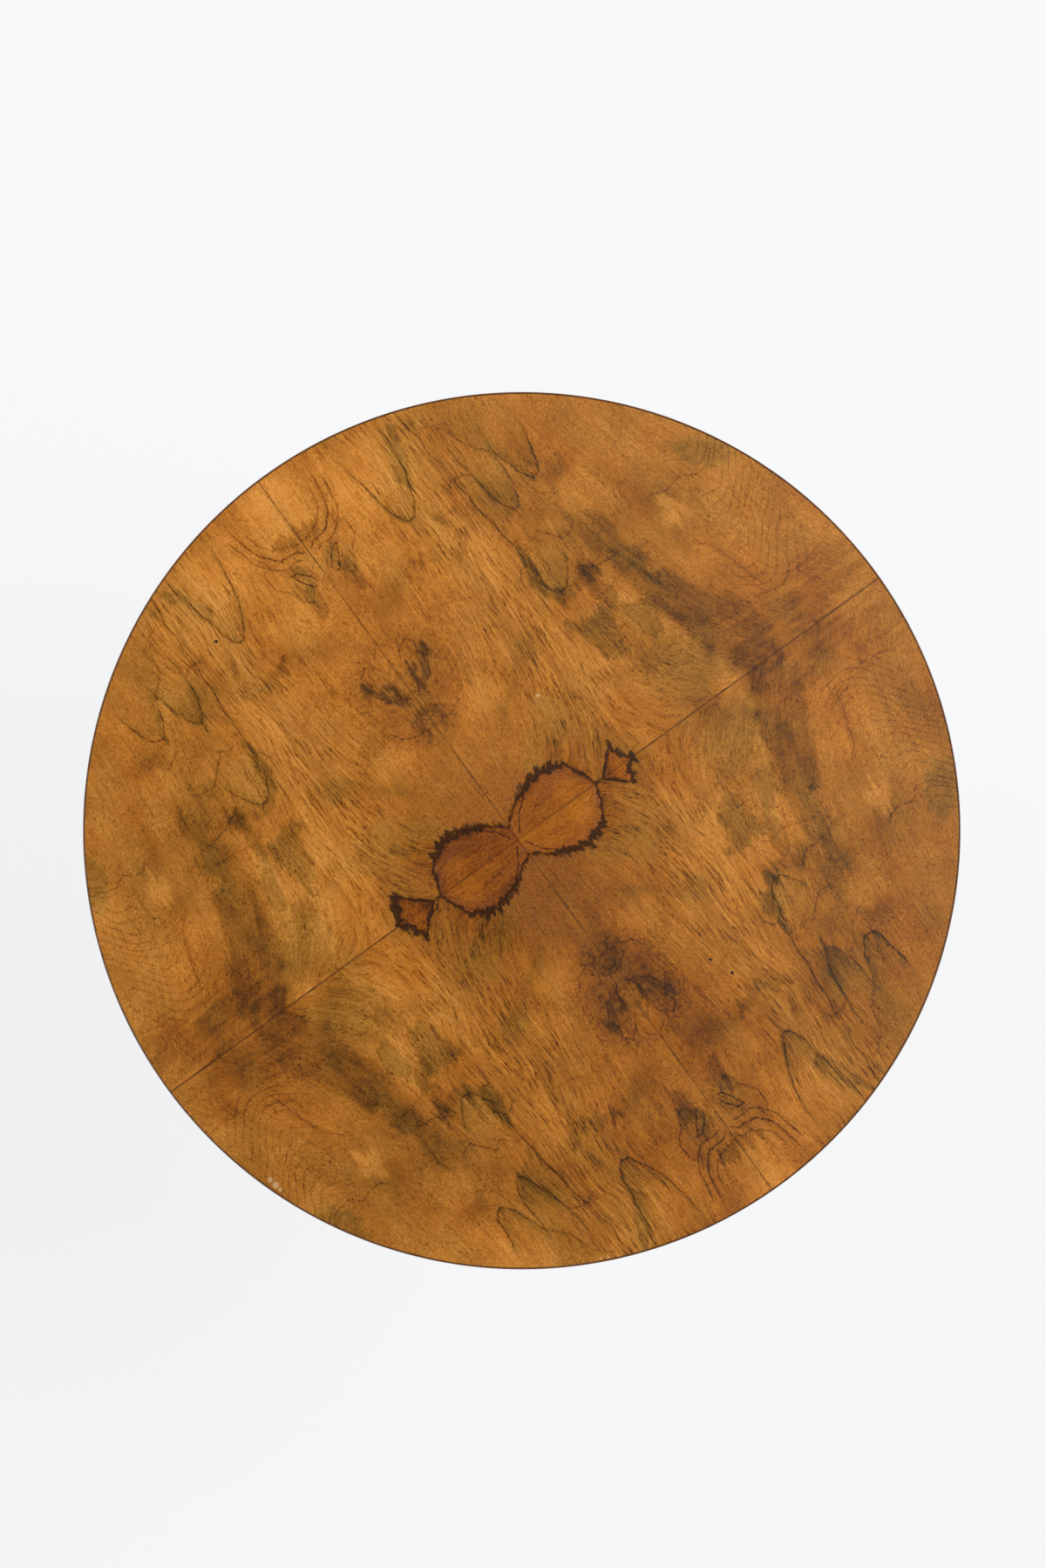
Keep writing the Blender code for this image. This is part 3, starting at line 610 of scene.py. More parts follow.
def cut_slot(piece, centre, height, reach, turn):
    """Cuts a straight slot across a screw's head with a block that lies across its middle."""
    corner = np.array([(x, y, z) for x in (-1, 1) for y in (-1, 1) for z in (-1, 1)], float)
    corner *= (reach * 1.3, SLOT_WIDTH / 2, SLOT_DEPTH)
    x = corner[:, 0] * math.cos(turn) - corner[:, 1] * math.sin(turn)
    y = corner[:, 0] * math.sin(turn) + corner[:, 1] * math.cos(turn)
    points = np.stack([x + centre[0], y + centre[1], corner[:, 2] + height], -1)
    sides = [[0, 1, 3, 2], [4, 6, 7, 5], [0, 4, 5, 1], [2, 3, 7, 6], [0, 2, 6, 4], [1, 5, 7, 3]]
    blade = put_mesh("screw_slot", points, sides)
    cut = piece.modifiers.new("slot", "BOOLEAN")
    cut.object = blade
    cut.solver = "EXACT"
    plain = piece.data
    evaluated = piece.evaluated_get(bpy.context.evaluated_depsgraph_get())
    piece.data = bpy.data.meshes.new_from_object(evaluated)
    piece.modifiers.remove(cut)
    bpy.data.objects.remove(blade, do_unlink=True)
    bpy.data.meshes.remove(plain)


brass = metal_finish("aged_brass", (176, 142, 84), (104, 78, 44), 0.36)
screw_names = [f"bearer_screw_{i + 1}" for i in range(6)] + [f"head_screw_{i + 1}" for i in range(4)]
for i, node in enumerate(screw_names):
    screw_low, screw_high = np.array(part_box(node))
    screw_centre = (screw_low[:2] + screw_high[:2]) / 2
    head_radius = (screw_high[0] - screw_low[0]) / 2
    face = screw_low[2]
    outline = [
        (0.0, face),
        (head_radius, face),
        (head_radius, face + SCREW_HEAD_RIM),
        (SCREW_SHANK, face + SCREW_HEAD_RIM + SCREW_HEAD_CONE),
        (SCREW_SHANK, screw_high[2] - SCREW_POINT),
        (0.0, screw_high[2]),
    ]
    screw = turned(f"{node}_brass", outline, SCREW_SIDES, screw_centre)
    cut_slot(screw, screw_centre, face, head_radius, SLOT_TURN * i)
    settle(screw, node, brass)

# Face veneer
# Four leaves cut one after another from a walnut crotch and opened out round a cross of two seams,
# so each mirrors the next. They are glued to the core, scraped and polished with shellac.

MM = 0.001
SEAM_ANGLE = math.radians(36.0)
SEAM_CROSS = np.array([-0.0027, -0.0068])
LEAF_ROWS = 310
LEAF_CROWDING = 0.35
GROWTH_SPACING = 9.0
HALF_SEAM = 0.00004
FIBRE_LINE = 115
BASE_TONE = 0.555
MIDDLE_TONE = 0.54
CONTRAST = 1.45
SHARP_EDGE = 7
LINED_EDGE = 6
HEART_END = 75
OUT_OF_REACH = 40.0

# Marks of the figure, in millimetres from the cross: u along the heart's seam, v along the other.
# Pale clouds: u, v, half width, half length, tilt in degrees, change of tone
PALE_CLOUDS = (
    (6, 308, 22, 26, 0, 0.17),
    (48, 272, 14, 60, 0, 0.11),
    (102, 195, 11, 80, 4, 0.06),
    (117, 50, 12, 66, 6, 0.08),
    (34, 99, 22, 12, -10, 0.10),
    (16, 58, 14, 10, 0, 0.07),
    (90, 82, 16, 14, 0, 0.07),
    (239, 133, 10, 11, 0, 0.19),
    (234, 82, 14, 18, 20, 0.07),
    (276, 84, 24, 30, 0, 0.06),
    (172, 84, 6, 30, 20, 0.08),
    (147, 40, 12, 30, 10, 0.08),
    (195, 186, 34, 11, 45, 0.08),
    (216, 142, 12, 36, 15, 0.07),
    (146, 155, 9, 9, 0, 0.07),
    (76, 288, 38, 28, 0, 0.11),
    (80, 152, 20, 45, 0, 0.07),
    (137, 86, 22, 28, 0, 0.07),
)
# Broad shade: u, v, half width, half length, tilt in degrees, depth
BROAD_SHADE = (
    (20, 36, 75, 48, 0, 0.10),
    (8, 56, 20, 28, 0, 0.06),
    (170, 10, 26, 22, 0, 0.06),
    (222, 130, 24, 28, 0, 0.06),
    (50, 237, 22, 14, 0, 0.05),
    (14, 140, 34, 55, 0, 0.04),
    (104, 8, 24, 22, 0, 0.07),
    (62, 165, 16, 44, 0, 0.03),
    (63, 27, 14, 20, 0, 0.05),
    (176, 6, 24, 16, 0, 0.05),
    (192, 22, 30, 26, 0, 0.05),
    (192, 90, 22, 30, 0, 0.04),
    (220, 150, 30, 22, 0, 0.08),
    (237, 105, 16, 16, 0, 0.02),
    (200, 200, 26, 26, 0, 0.07),
    (292, 50, 16, 36, 0, 0.06),
)
# Dark masses: depth, share of olive, softness of the edge, points of the outline
DARK_MASSES = (
    (0.05, 0.7, 7, ((38, 44), (50, 54), (60, 66), (68, 78), (76, 76), (84, 62), (84, 48),
                    (76, 38), (60, 42))),
    (0.09, 0.6, 8, ((46, 84), (58, 94), (70, 106), (84, 122), (98, 124), (104, 112), (98, 100),
                    (72, 92))),
    (0.08, 0.1, 8, ((-6, 96), (10, 92), (18, 100), (18, 114), (24, 128), (34, 142), (30, 160),
                    (8, 162), (-6, 150))),
    (0.08, 0.0, 6, ((-5, 100), (12, 102), (14, 118), (10, 132), (-5, 136))),
    (0.17, 0.8, 4, ((121, 174), (126, 174), (129, 156), (134, 142), (142, 134), (136, 130),
                    (128, 138), (123, 150))),
    (0.15, 0.2, 6, ((130, 140), (142, 132), (158, 140), (172, 146), (180, 134), (170, 124),
                    (150, 124), (136, 126))),
    (0.17, 0.6, 4.5, ((126, 104), (132, 94), (136, 78), (140, 69), (143, 76), (147, 61),
                      (151, 74), (151, 88), (156, 92), (152, 104), (140, 108))),
    (0.16, 0.5, 5, ((156, 120), (158, 106), (162, 94), (167, 100), (167, 116), (162, 124))),
    (0.10, 0.2, 5.5, ((184, 134), (194, 135), (200, 122), (203, 104), (211, 88), (220, 72),
                      (228, 56), (240, 40), (246, 20), (242, -9), (217, -9), (212, 10), (198, 40),
                      (186, 68), (180, 94))),
    (0.09, 0.6, 5, ((186, 130), (193, 132), (199, 127), (200, 116), (198, 106), (202, 97),
                    (190, 94), (188, 108), (184, 120))),
    (0.07, 0.0, 6.5, ((189, 96), (204, 98), (212, 93), (219, 88), (216, 78), (210, 70), (204, 62),
                      (194, 62), (188, 72), (185, 84))),
    (-0.06, 0.25, 3, ((166, 106), (173, 100), (183, 66), (195, 36), (209, 6), (213, -9),
                      (170, -9), (158, 20), (160, 60))),
    (0.14, 0.1, 12, ((192, 62), (206, 60), (216, 62), (224, 52), (236, 44), (250, 38), (266, 34),
                     (280, 24), (298, 12), (298, -9), (214, -9), (211, 10), (205, 24), (198, 36))),
    (0.05, 0.0, 7, ((228, 14), (248, 15), (256, -7), (220, -7))),
    (0.06, 0.0, 6, ((264, 10), (269, 30), (275, 32), (279, 16), (277, -6), (262, -6))),
    (0.17, 0.5, 5, ((164, 90), (167, 80), (171, 64), (178, 61), (181, 72), (177, 84), (170, 95))),
    (0.07, 0.45, 14, ((150, 60), (172, 62), (186, 48), (200, 34), (205, 10), (170, 5), (150, 30))),
    (0.15, 0.3, 6.5, ((170, 184), (178, 180), (188, 172), (197, 163), (199, 148), (198, 132),
                      (187, 131), (183, 140), (174, 146), (168, 156), (167, 170))),
    (0.11, 0.2, 6, ((158, 172), (168, 168), (170, 150), (172, 130), (162, 126), (156, 140),
                    (156, 158))),
    (0.09, 0.1, 7, ((174, 214), (186, 219), (200, 215), (205, 204), (192, 199), (180, 203))),
    (0.14, 0.6, 8, ((119, 246), (132, 240), (146, 226), (150, 208), (138, 200), (126, 200),
                    (121, 222))),
    (0.14, 0.3, 3.5, ((60, 212), (63, 204), (69, 207), (75, 195), (80, 200), (90, 197), (93, 190),
                      (97, 201), (104, 213), (96, 209), (86, 206), (78, 208), (70, 213))),
    (0.20, 0.1, 4, ((13, 246), (20, 248), (23, 238), (21, 228), (23, 217), (14, 218), (12, 230))),
    (0.09, 0.3, 3, ((3, 243), (9, 256), (17, 264), (22, 261), (14, 250), (8, 242))),
    (0.22, 0.1, 5, ((-4, 274), (14, 276), (18, 284), (8, 288), (-4, 286))),
    (0.09, 0.1, 12, ((-6, 222), (30, 214), (60, 218), (66, 206), (40, 196), (-6, 196))),
    (0.16, 0.9, 5, ((91, 262), (98, 282), (107, 306), (100, 308), (91, 286), (87, 268))),
    (0.11, 0.9, 8, ((262, 160), (272, 150), (286, 148), (296, 140), (292, 160), (280, 176),
                    (266, 178))),
    (0.08, 0.0, 9, ((138, 204), (160, 204), (162, 186), (140, 184))),
    (0.04, 0.4, 12, ((120, 300), (160, 286), (170, 262), (150, 255), (122, 262))),
)
# Tongues, where a dark line turns back on itself: tip, half width, rise, strength, shading above it
TONGUES = (
    ((78, 239), 20, 64, 0.85, 0.18),
    ((144, 207), 13, 38, 0.6, 0.20),
    ((172, 217), 15, 29, 0.8, 0.26),
    ((141, 134), 15, 20, 0.8, 0.12),
    ((19, 236), 8, 16, 0.4, 0.10),
)
# Thin dark lines: strength, points
THIN_LINES = (
    (1.0, ((114, 313), (117, 287), (118.5, 250), (122, 213), (125, 180), (127, 154))),
    (0.5, ((118, 291), (128, 288), (137, 280), (141, 266), (148, 255), (157, 246))),
    (0.6, ((111, 240), (115, 247), (124, 248), (131, 243), (134, 233), (132, 220))),
    (0.6, ((133, 182), (140, 177), (147, 181), (155, 173), (162, 165), (173, 168), (183, 173))),
    (0.5, ((156, 144), (167, 138), (176, 132), (186, 130), (197, 132))),
    (0.4, ((146, 110), (158, 113), (166, 110), (176, 114), (187, 116), (198, 117))),
    (1.2, ((0, 267), (8, 272), (20, 274), (28, 281), (34, 292), (36, 305), (39, 318))),
    (0.7, ((0, 277), (10, 279), (20, 284), (27, 294), (30, 308))),
    (0.9, ((3, 263), (12, 268), (22, 267), (31, 273), (38, 284), (41, 298), (46, 314))),
    (0.4, ((26, 268), (33, 283), (40, 291))),
    (0.7, ((21, 233), (28, 248), (36, 258), (37, 270), (33, 277))),
    (1.1, ((7, 243), (10, 253), (16, 261), (21, 262), (18, 253), (12, 244), (7, 243))),
    (0.9, ((6, 158), (12, 168), (19, 172), (24, 166), (21, 158), (25, 150), (20, 140), (13, 137))),
    (0.8, ((0, 131), (6, 135), (10, 141), (8, 150))),
    (0.6, ((2, 112), (15, 106), (25, 110), (30, 120), (35, 117))),
    (0.5, ((230, 150), (245, 147), (255, 152), (267, 147), (278, 152), (292, 165))),
    (0.4, ((158, 228), (166, 205), (176, 196), (186, 190))),
    (0.3, ((40, 170), (52, 176), (66, 170), (80, 164), (95, 168))),
    (0.6, ((236, 105), (247, 92), (253, 76), (256, 62), (262, 44))),
    (1.2, ((4, 2), (8, 9), (12, 15), (18, 21), (26, 27))),
    (0.4, ((262, 56), (280, 47), (300, 44), (318, 47))),
    (0.8, ((116, 156), (119, 164), (124, 165), (128, 158))),
)
# Black knots, as thick strokes: half width, depth, points
KNOTS = (
    (2.6, 1.0, ((9, 134), (11, 142), (10, 148), (13, 152))),
    (2.8, 1.0, ((12, 138), (17, 144), (19, 151), (24, 157))),
    (1.6, 0.8, ((6, 137), (10, 135), (15, 140))),
    (1.8, 0.6, ((2, 119), (8, 116), (15, 121))),
    (1.6, 0.55, ((5, 107), (10, 112), (9, 118))),
    (2.0, 0.4, ((17, 245), (19, 238), (18, 230))),
    (1.6, 0.4, ((6, 252), (12, 259), (18, 262))),
    (1.8, 0.3, ((72, 241), (78, 238), (84, 243))),
)
# The heart by the cross and the ear at its tip: the middle of their black band, with its teeth,
# as closed outlines that run on below the seam
HEART = ((-30, 12.5), (0, 12.5), (4, 16), (8, 19), (12, 22), (16.5, 25), (18, 23.8), (20, 27.2),
         (23, 26))
HEART += ((25, 30), (28, 27.8), (29.5, 30.6), (31, 28.6), (34, 33.4), (36.5, 29.4), (38, 32),
          (39.5, 30.4))
HEART += ((42.5, 35.8), (45, 30.2), (47, 33.4), (49, 29), (51.5, 33.8), (53.5, 27.8), (55, 29.6),
          (57, 25))
HEART += ((60.5, 27.4), (62, 22.6), (64, 21), (66, 15.6), (68.5, 10), (70.5, 5), (72.4, 0), (74, -20),
          (-30, -20))
EAR = ((77.2, 0), (87, 8.2), (97.5, 17.3), (97.2, 13.5), (99.8, 11), (98.8, 7.6), (101.8, 5),
       (102.6, 2.6))
EAR += ((106.4, 1.6), (106.6, 0), (104, -12), (80, -12))
# How each leaf differs from the next, as broad clouds, some of them painted shade and light, such as
# # the darker outer end of the south leaf: u, v, half width, half length, tilt, change
LEAF_DRIFT_AND_SHADE = {
    "north": (
        (12, 78, 30, 30, 0, 0.05), (52, 50, 28, 16, 0, 0.10), (76, 262, 20, 30, 0, 0.06),
        (265, 90, 60, 80, 0, -0.08), (14, 145, 16, 20, 0, 0.05), (178, 228, 26, 24, 0, -0.10),
        (75, 210, 26, 20, 0, 0.07), (22, 255, 24, 26, 0, 0.07), (164, 60, 42, 50, 0, -0.08),
        (266, 120, 18, 30, 0, 0.09), (140, 160, 18, 36, 0, -0.06), (298, 22, 28, 24, 0, -0.07),
    ),
    "west": (
        (245, 28, 46, 26, 0, -0.11), (205, 110, 30, 45, 0, -0.03), (76, 262, 20, 30, 0, 0.08),
        (52, 50, 28, 16, 0, 0.04), (14, 145, 16, 20, 0, 0.07), (135, 28, 16, 28, 0, 0.03),
        (64, 24, 14, 20, 0, -0.05), (298, 22, 28, 24, 0, -0.07), (260, 85, 40, 35, 0, -0.04),
        (20, 232, 26, 44, 0, 0.09), (36, 112, 16, 12, 0, -0.07), (162, 62, 14, 14, 0, 0.10),
        (238, 112, 16, 16, 0, -0.07), (125, 275, 20, 24, 0, 0.08), (52, 265, 16, 44, 0, -0.06),
        (205, 200, 26, 26, 0, -0.04),
    ),
    "south": (
        # the first cloud here is painted shade over the leaf's outer end
        (40, 275, 55, 60, 0, -0.12), (12, 78, 26, 40, 0, -0.06), (250, 28, 46, 24, 0, -0.06),
        (200, 105, 22, 45, 0, -0.03), (135, 28, 18, 28, 0, 0.08), (88, 150, 36, 70, 0, -0.05),
        (260, 85, 40, 35, 0, -0.04), (184, 260, 20, 78, 49, 0.14), (10, 228, 14, 24, 0, 0.07),
        (78, 120, 24, 18, 0, 0.07), (162, 72, 14, 20, 0, 0.08), (112, 12, 14, 14, 0, 0.07),
        (37, 237, 16, 16, 0, -0.05), (20, 150, 26, 26, 0, -0.05), (312, 38, 14, 22, 0, 0.10),
        (226, 24, 22, 28, 0, 0.08), (18, 305, 24, 20, 0, -0.05), (298, 22, 24, 20, 0, -0.04),
        (115, 292, 18, 22, 0, 0.07),
    ),
    "east": (
        (12, 95, 24, 52, 0, -0.08), (245, 14, 55, 28, 0, 0.06), (192, 114, 18, 22, 0, 0.09),
        (260, 110, 60, 80, 0, -0.04), (168, 228, 44, 30, 0, -0.11), (52, 48, 30, 18, 0, 0.11),
        (95, 34, 22, 16, 0, 0.05), (220, 130, 20, 24, 0, 0.03), (42, 275, 40, 50, 0, -0.06),
        (28, 188, 26, 36, 0, -0.13), (122, 114, 50, 32, 0, 0.11), (264, 112, 20, 34, 0, 0.10),
        (225, 55, 26, 24, 0, 0.07), (88, 14, 12, 12, 0, 0.06), (304, 100, 20, 60, 0, -0.07),
        (270, 16, 20, 18, 0, -0.06), (112, 150, 12, 60, 0, -0.04),
    ),
}


def lattice(column, row, seed):
    """A fixed random level from -1 to 1 for each corner of a grid, from its column, row and seed."""
    mixed = (column * 374761393 + row * 668265263 + seed * 1442695041) & 0xFFFFFFFF
    mixed = ((mixed ^ (mixed >> 13)) * 1274126177) & 0xFFFFFFFF
    return ((mixed ^ (mixed >> 16)) & 0xFFFF) / 32767.5 - 1.0


def smoke(x, y, seed, octaves=1):
    """Smooth random levels from about -1 to 1: the corner levels of a unit grid, eased across each
    square, with finer copies added at half the size and strength for each further octave."""
    total = np.zeros(np.broadcast(x, y).shape)
    for octave in range(octaves):
        fine_x, fine_y = x * 2.0**octave, y * 2.0**octave
        column, row = np.floor(fine_x).astype(np.int64), np.floor(fine_y).astype(np.int64)
        part_x, part_y = fine_x - column, fine_y - row
        part_x, part_y = part_x**2 * (3 - 2 * part_x), part_y**2 * (3 - 2 * part_y)
        near = lattice(column, row, seed) * (1 - part_x) + lattice(column + 1, row, seed) * part_x
        far = lattice(column, row + 1, seed) * (1 - part_x) + lattice(column + 1, row + 1, seed) * part_x
        total = total + (near * (1 - part_y) + far * part_y) / 2.0**octave
    return total


def climb(low, high, value):
    """0 below low and 1 above high, with a smooth climb between them. Low may be the larger."""
    share = np.clip((value - low) / (high - low), 0, 1)
    return share**2 * (3 - 2 * share)


def cloud(u, v, middle_u, middle_v, half_width, half_length, tilt):
    """A bell over a tilted ellipse: 1 at its middle, about a third at its edge."""
    turn = math.radians(tilt)
    across = ((u - middle_u) * math.cos(turn) + (v - middle_v) * math.sin(turn)) / half_width
    along = ((v - middle_v) * math.cos(turn) - (u - middle_u) * math.sin(turn)) / half_length
    return np.exp(-(across**2) - along**2)


def line_distance(u, v, points):
    """Distance from each place to a line of straight stretches, positive on its left, and how far along
    the line its nearest point lies, from 0 to 1: both from whichever stretch comes closest."""
    nearest = np.full(u.shape, 1e3)
    progress = np.zeros(u.shape)
    for stretch, ((u0, v0), (u1, v1)) in enumerate(zip(points, points[1:])):
        du, dv = u1 - u0, v1 - v0
        share = np.clip(((u - u0) * du + (v - v0) * dv) / (du**2 + dv**2), 0, 1)
        distance = np.hypot(u - u0 - share * du, v - v0 - share * dv)
        left = du * (v - v0) - dv * (u - u0) >= 0
        closer = distance < np.abs(nearest)
        nearest = np.where(closer, np.where(left, distance, -distance), nearest)
        progress = np.where(closer, (stretch + share) / (len(points) - 1), progress)
    return nearest, progress


def inside_depth(u, v, points):
    """Distance to a closed outline, positive inside it: a place is inside when a level ray from it
    crosses the outline an odd number of times."""
    inside = np.zeros(u.shape, bool)
    for (u0, v0), (u1, v1) in zip(points, points[1:] + points[:1]):
        if v0 != v1:
            inside ^= ((v0 > v) != (v1 > v)) & (u < u0 + (u1 - u0) * (v - v0) / (v1 - v0))
    distance = np.abs(line_distance(u, v, points + points[:1])[0])
    return np.where(inside, distance, -distance)


def across_grain(u, v):
    """Across-grain place. The fibres draw together going up, towards a line beside the cross, so the
    distance to that line is shortened by a share that dies away with v."""
    beside = np.clip(u - FIBRE_LINE, -FIBRE_LINE, 95)
    drawn_in = 0.72 * beside * np.exp(-v / 80) * climb(-5, 50, u)
    return u - drawn_in + 3.0 * smoke(u / 40, v / 55, 3) + 1.6 * smoke(u / 14, v / 26, 4)


def fibre_strokes(grain, long, seed):
    """Two fields of a leaf's own fibres: how far each is drawn up or down, which feathers every edge
    along the grain, and how light or dark it is."""
    jag = 6 * smoke(grain / 1.6, long / 40, seed + 5) + 5 * smoke(grain / 4, long / 60, seed + 6)
    stroke = 0.6 * smoke(grain / 1.7, long / 20, seed + 9)
    stroke += 0.5 * smoke(grain / 3.4, long / 42, seed + 10)
    return jag, stroke


def cloudy_tone(cloud_u, cloud_v, rough, drift_and_shade):
    """Tone of a leaf before its dark masses: an even tone, changed by the leaf's own drift, which also
    paints in shade and light, lifted by pale clouds, which end more sharply than a bell does, and
    lowered by broad shade."""
    tone = np.full(cloud_u.shape, BASE_TONE)
    for *place, change in drift_and_shade:
        tone += change * cloud(cloud_u, cloud_v, *place)
    for *place, change in PALE_CLOUDS:
        bell = cloud(cloud_u, cloud_v, *place)
        tone += change * climb(0.03, 0.95, bell * (1 + 0.2 * rough))
    for *place, depth in BROAD_SHADE:
        tone -= depth * cloud(cloud_u, cloud_v, *place)
    return tone


def dark_masses(wide, long, cloud_u, jag, stroke, rough):
    """Shade and olive of the dark masses, each a smooth climb over its outline, streaked by the fibres,
    and for each the distance into it and the strength of the line along its edge, none for a soft one."""
    mass_u = wide + 2.4 * smoke(wide / 12, long / 18, 61, 3)
    mass_v = long + 2.6 * smoke(wide / 12, long / 18, 66, 3) + 0.8 * jag
    shade = np.zeros(wide.shape)
    green = np.zeros(wide.shape)
    edges = []
    for depth, olive, soft, points in DARK_MASSES:
        if soft < SHARP_EDGE:
            depth_in = inside_depth(mass_u, mass_v, points) + 1.2 * rough + 1.6 * stroke
            streaks = 0.8 * stroke + 0.2 * rough
        else:
            depth_in = inside_depth(cloud_u, long + 3 * rough, points) + 0.35 * soft * rough
            streaks = 0.15 * stroke + 0.2 * rough
        within = climb(-0.8 * soft, 0.9 * soft, depth_in)
        shade += 0.85 * depth * within * (0.95 + streaks)
        green += olive * within
        edges.append((depth_in, 2.2 * max(depth, 0.0) * (soft < LINED_EDGE)))
    return shade, green, edges


def thin_lines(wide, long, jag, stroke, edges):
    """The thin lines, wandering a little: at each place the distance to the line that counts there, the
    nearest in view of its strength, and that strength, with the shade and olive that go with them.
    Lines run along edges, through chosen points, round tongues, and where a field of smoke passes set
    levels by the knots. Above a tongue, a parabola, the shade dies away with height."""
    line_u = wide + 1.0 * smoke(wide / 13, long / 13, 90, 2)
    line_v = long + 1.2 * smoke(wide / 12, long / 14, 93, 2) + 0.12 * jag
    nearest = np.full(wide.shape, OUT_OF_REACH)
    strength = np.zeros(wide.shape)
    shade = np.zeros(wide.shape)
    green = np.zeros(wide.shape)

    def nearer(distance, weight):
        closer = np.abs(distance) - 1.5 * weight < np.abs(nearest) - 1.5 * strength
        strength[closer] = (weight * np.ones(wide.shape))[closer]
        nearest[closer] = distance[closer]

    for distance, weight in edges:
        nearer(distance, weight)
    for weight, points in THIN_LINES:
        distance, progress = line_distance(line_u, line_v, points)
        nearer(distance, weight * climb(0, 0.1, progress) * climb(1, 0.85, progress))
    for (tip_u, tip_v), half_width, rise, weight, shading in TONGUES:
        offset = (line_u - tip_u) / half_width
        height = line_v - tip_v - rise * offset**2
        steep = 2 * rise * offset / half_width
        reach = climb(1.15, 0.9, np.abs(offset))
        nearer(height / np.sqrt(1 + steep**2), weight * reach)
        above = (height + 1.5 * jag > 0) * np.exp(-np.clip(height + 1.0 * jag, 0, None) / 16) * reach
        shade += shading * above * (0.8 + 0.6 * stroke)
        green += 0.8 * above
    field = smoke(wide / 15, long / 17, 71, 3)
    knotty = np.clip(cloud(wide, long, 12, 140, 26, 36, 0) * 1.6, 0, 1)
    for level in (-0.45, 0.0, 0.45):
        nearer((field - level) * 9, 0.4 * climb(0.15, 0.5, knotty))
    shade += 0.05 * strength * climb(7, 0, np.abs(nearest))
    # a line ends where it would meet the reach of the next one
    strength *= climb(4.5, 2.5, np.abs(nearest))
    return nearest, strength, shade, green


def growth_lines(wide, long):
    """Growth lines by the rim, smiles whose flanks run straight, steeper on their right: the place
    between one line and the next, in lines, and how strongly they show."""
    middle = 269 + 7 * smoke(long / 30, long * 0, 95)
    rise = np.where(wide < middle, 9, 20) * (np.sqrt(1 + ((wide - middle) / 14) ** 2) - 1)
    bend = 7 * smoke(wide / 34, long / 30, 96, 2) + 1.3 * smoke(wide / 8, long / 8, 97)
    phase = (long - rise + bend) / GROWTH_SPACING
    shown = climb(228, 258, wide) * climb(10, 40, long) * climb(190, 164, long)
    shown *= np.clip(0.65 + 0.8 * smoke(wide / 36, long / 24, 98), 0, 1)
    return phase, shown


def heart_outline(u, v, seed, ear_size):
    """Distance outside heart and ear, negative within them, and half the width of their black band. Both
    outlines are roughened by smoke, but not at the seam, and the ear is scaled about its tip."""
    heart_u = u + 1.5 * smoke(u / 6, v / 6, seed + 19, 2) * climb(0, 6, v)
    heart_v = v + 1.2 * smoke(u / 6, v / 6, seed + 20, 2) * climb(0, 6, v)
    ear_u = EAR[0][0] + (heart_u - EAR[0][0]) / ear_size
    ear_depth = ear_size * inside_depth(ear_u, heart_v / ear_size, EAR)
    outline = -np.maximum(inside_depth(heart_u, heart_v, HEART), ear_depth)
    half_band = 1.15 + 1.0 * climb(8, 20, u) * climb(68, 60, u) + 0.6 * climb(HEART_END - 1, 80, u)
    return outline, half_band


def heart_tone(u, v, outline, seed, heart_lift):
    """Tone inside heart and ear, darker towards their outline, and the place across their fibres, which
    run like meridians from the cross to the heart's tip."""
    crown_u, crown_v = np.array(HEART[1:-2]).T
    meridian = 30 * v / np.maximum(np.interp(u, crown_u, crown_v), 3)
    inner = 0.425 + 0.045 * smoke(meridian / 3.2, u / 30, seed + 22, 2)
    inner += 0.06 * smoke(u / 12, v / 12, 23, 2)
    inner += 0.05 * cloud(u, v, 44, 6, 18, 12, 0) - 0.13 * np.exp(np.clip(outline, None, 0) / 4)
    inner += heart_lift + 0.10 * cloud(u, v, 95, 3, 8, 6, 0) - 0.08 * (u > HEART_END)
    return inner, meridian


def knot_ink(wide, long, jag, stroke, rough):
    """Black of the knots: the deepest of their thick strokes, frayed by the fibres."""
    knot_u = wide + 2.6 * smoke(wide / 7, long / 9, 63, 3)
    knot_v = long + 3.0 * smoke(wide / 7, long / 9, 67, 3) + 0.3 * jag
    ink = np.zeros(wide.shape)
    for half_width, depth, points in KNOTS:
        reach = np.abs(line_distance(knot_u, knot_v, points)[0]) / half_width
        ink = np.maximum(ink, depth * climb(1.7, 0.2, reach + 0.3 * rough - 0.7 * stroke))
    return ink * (0.6 + 0.3 * stroke)


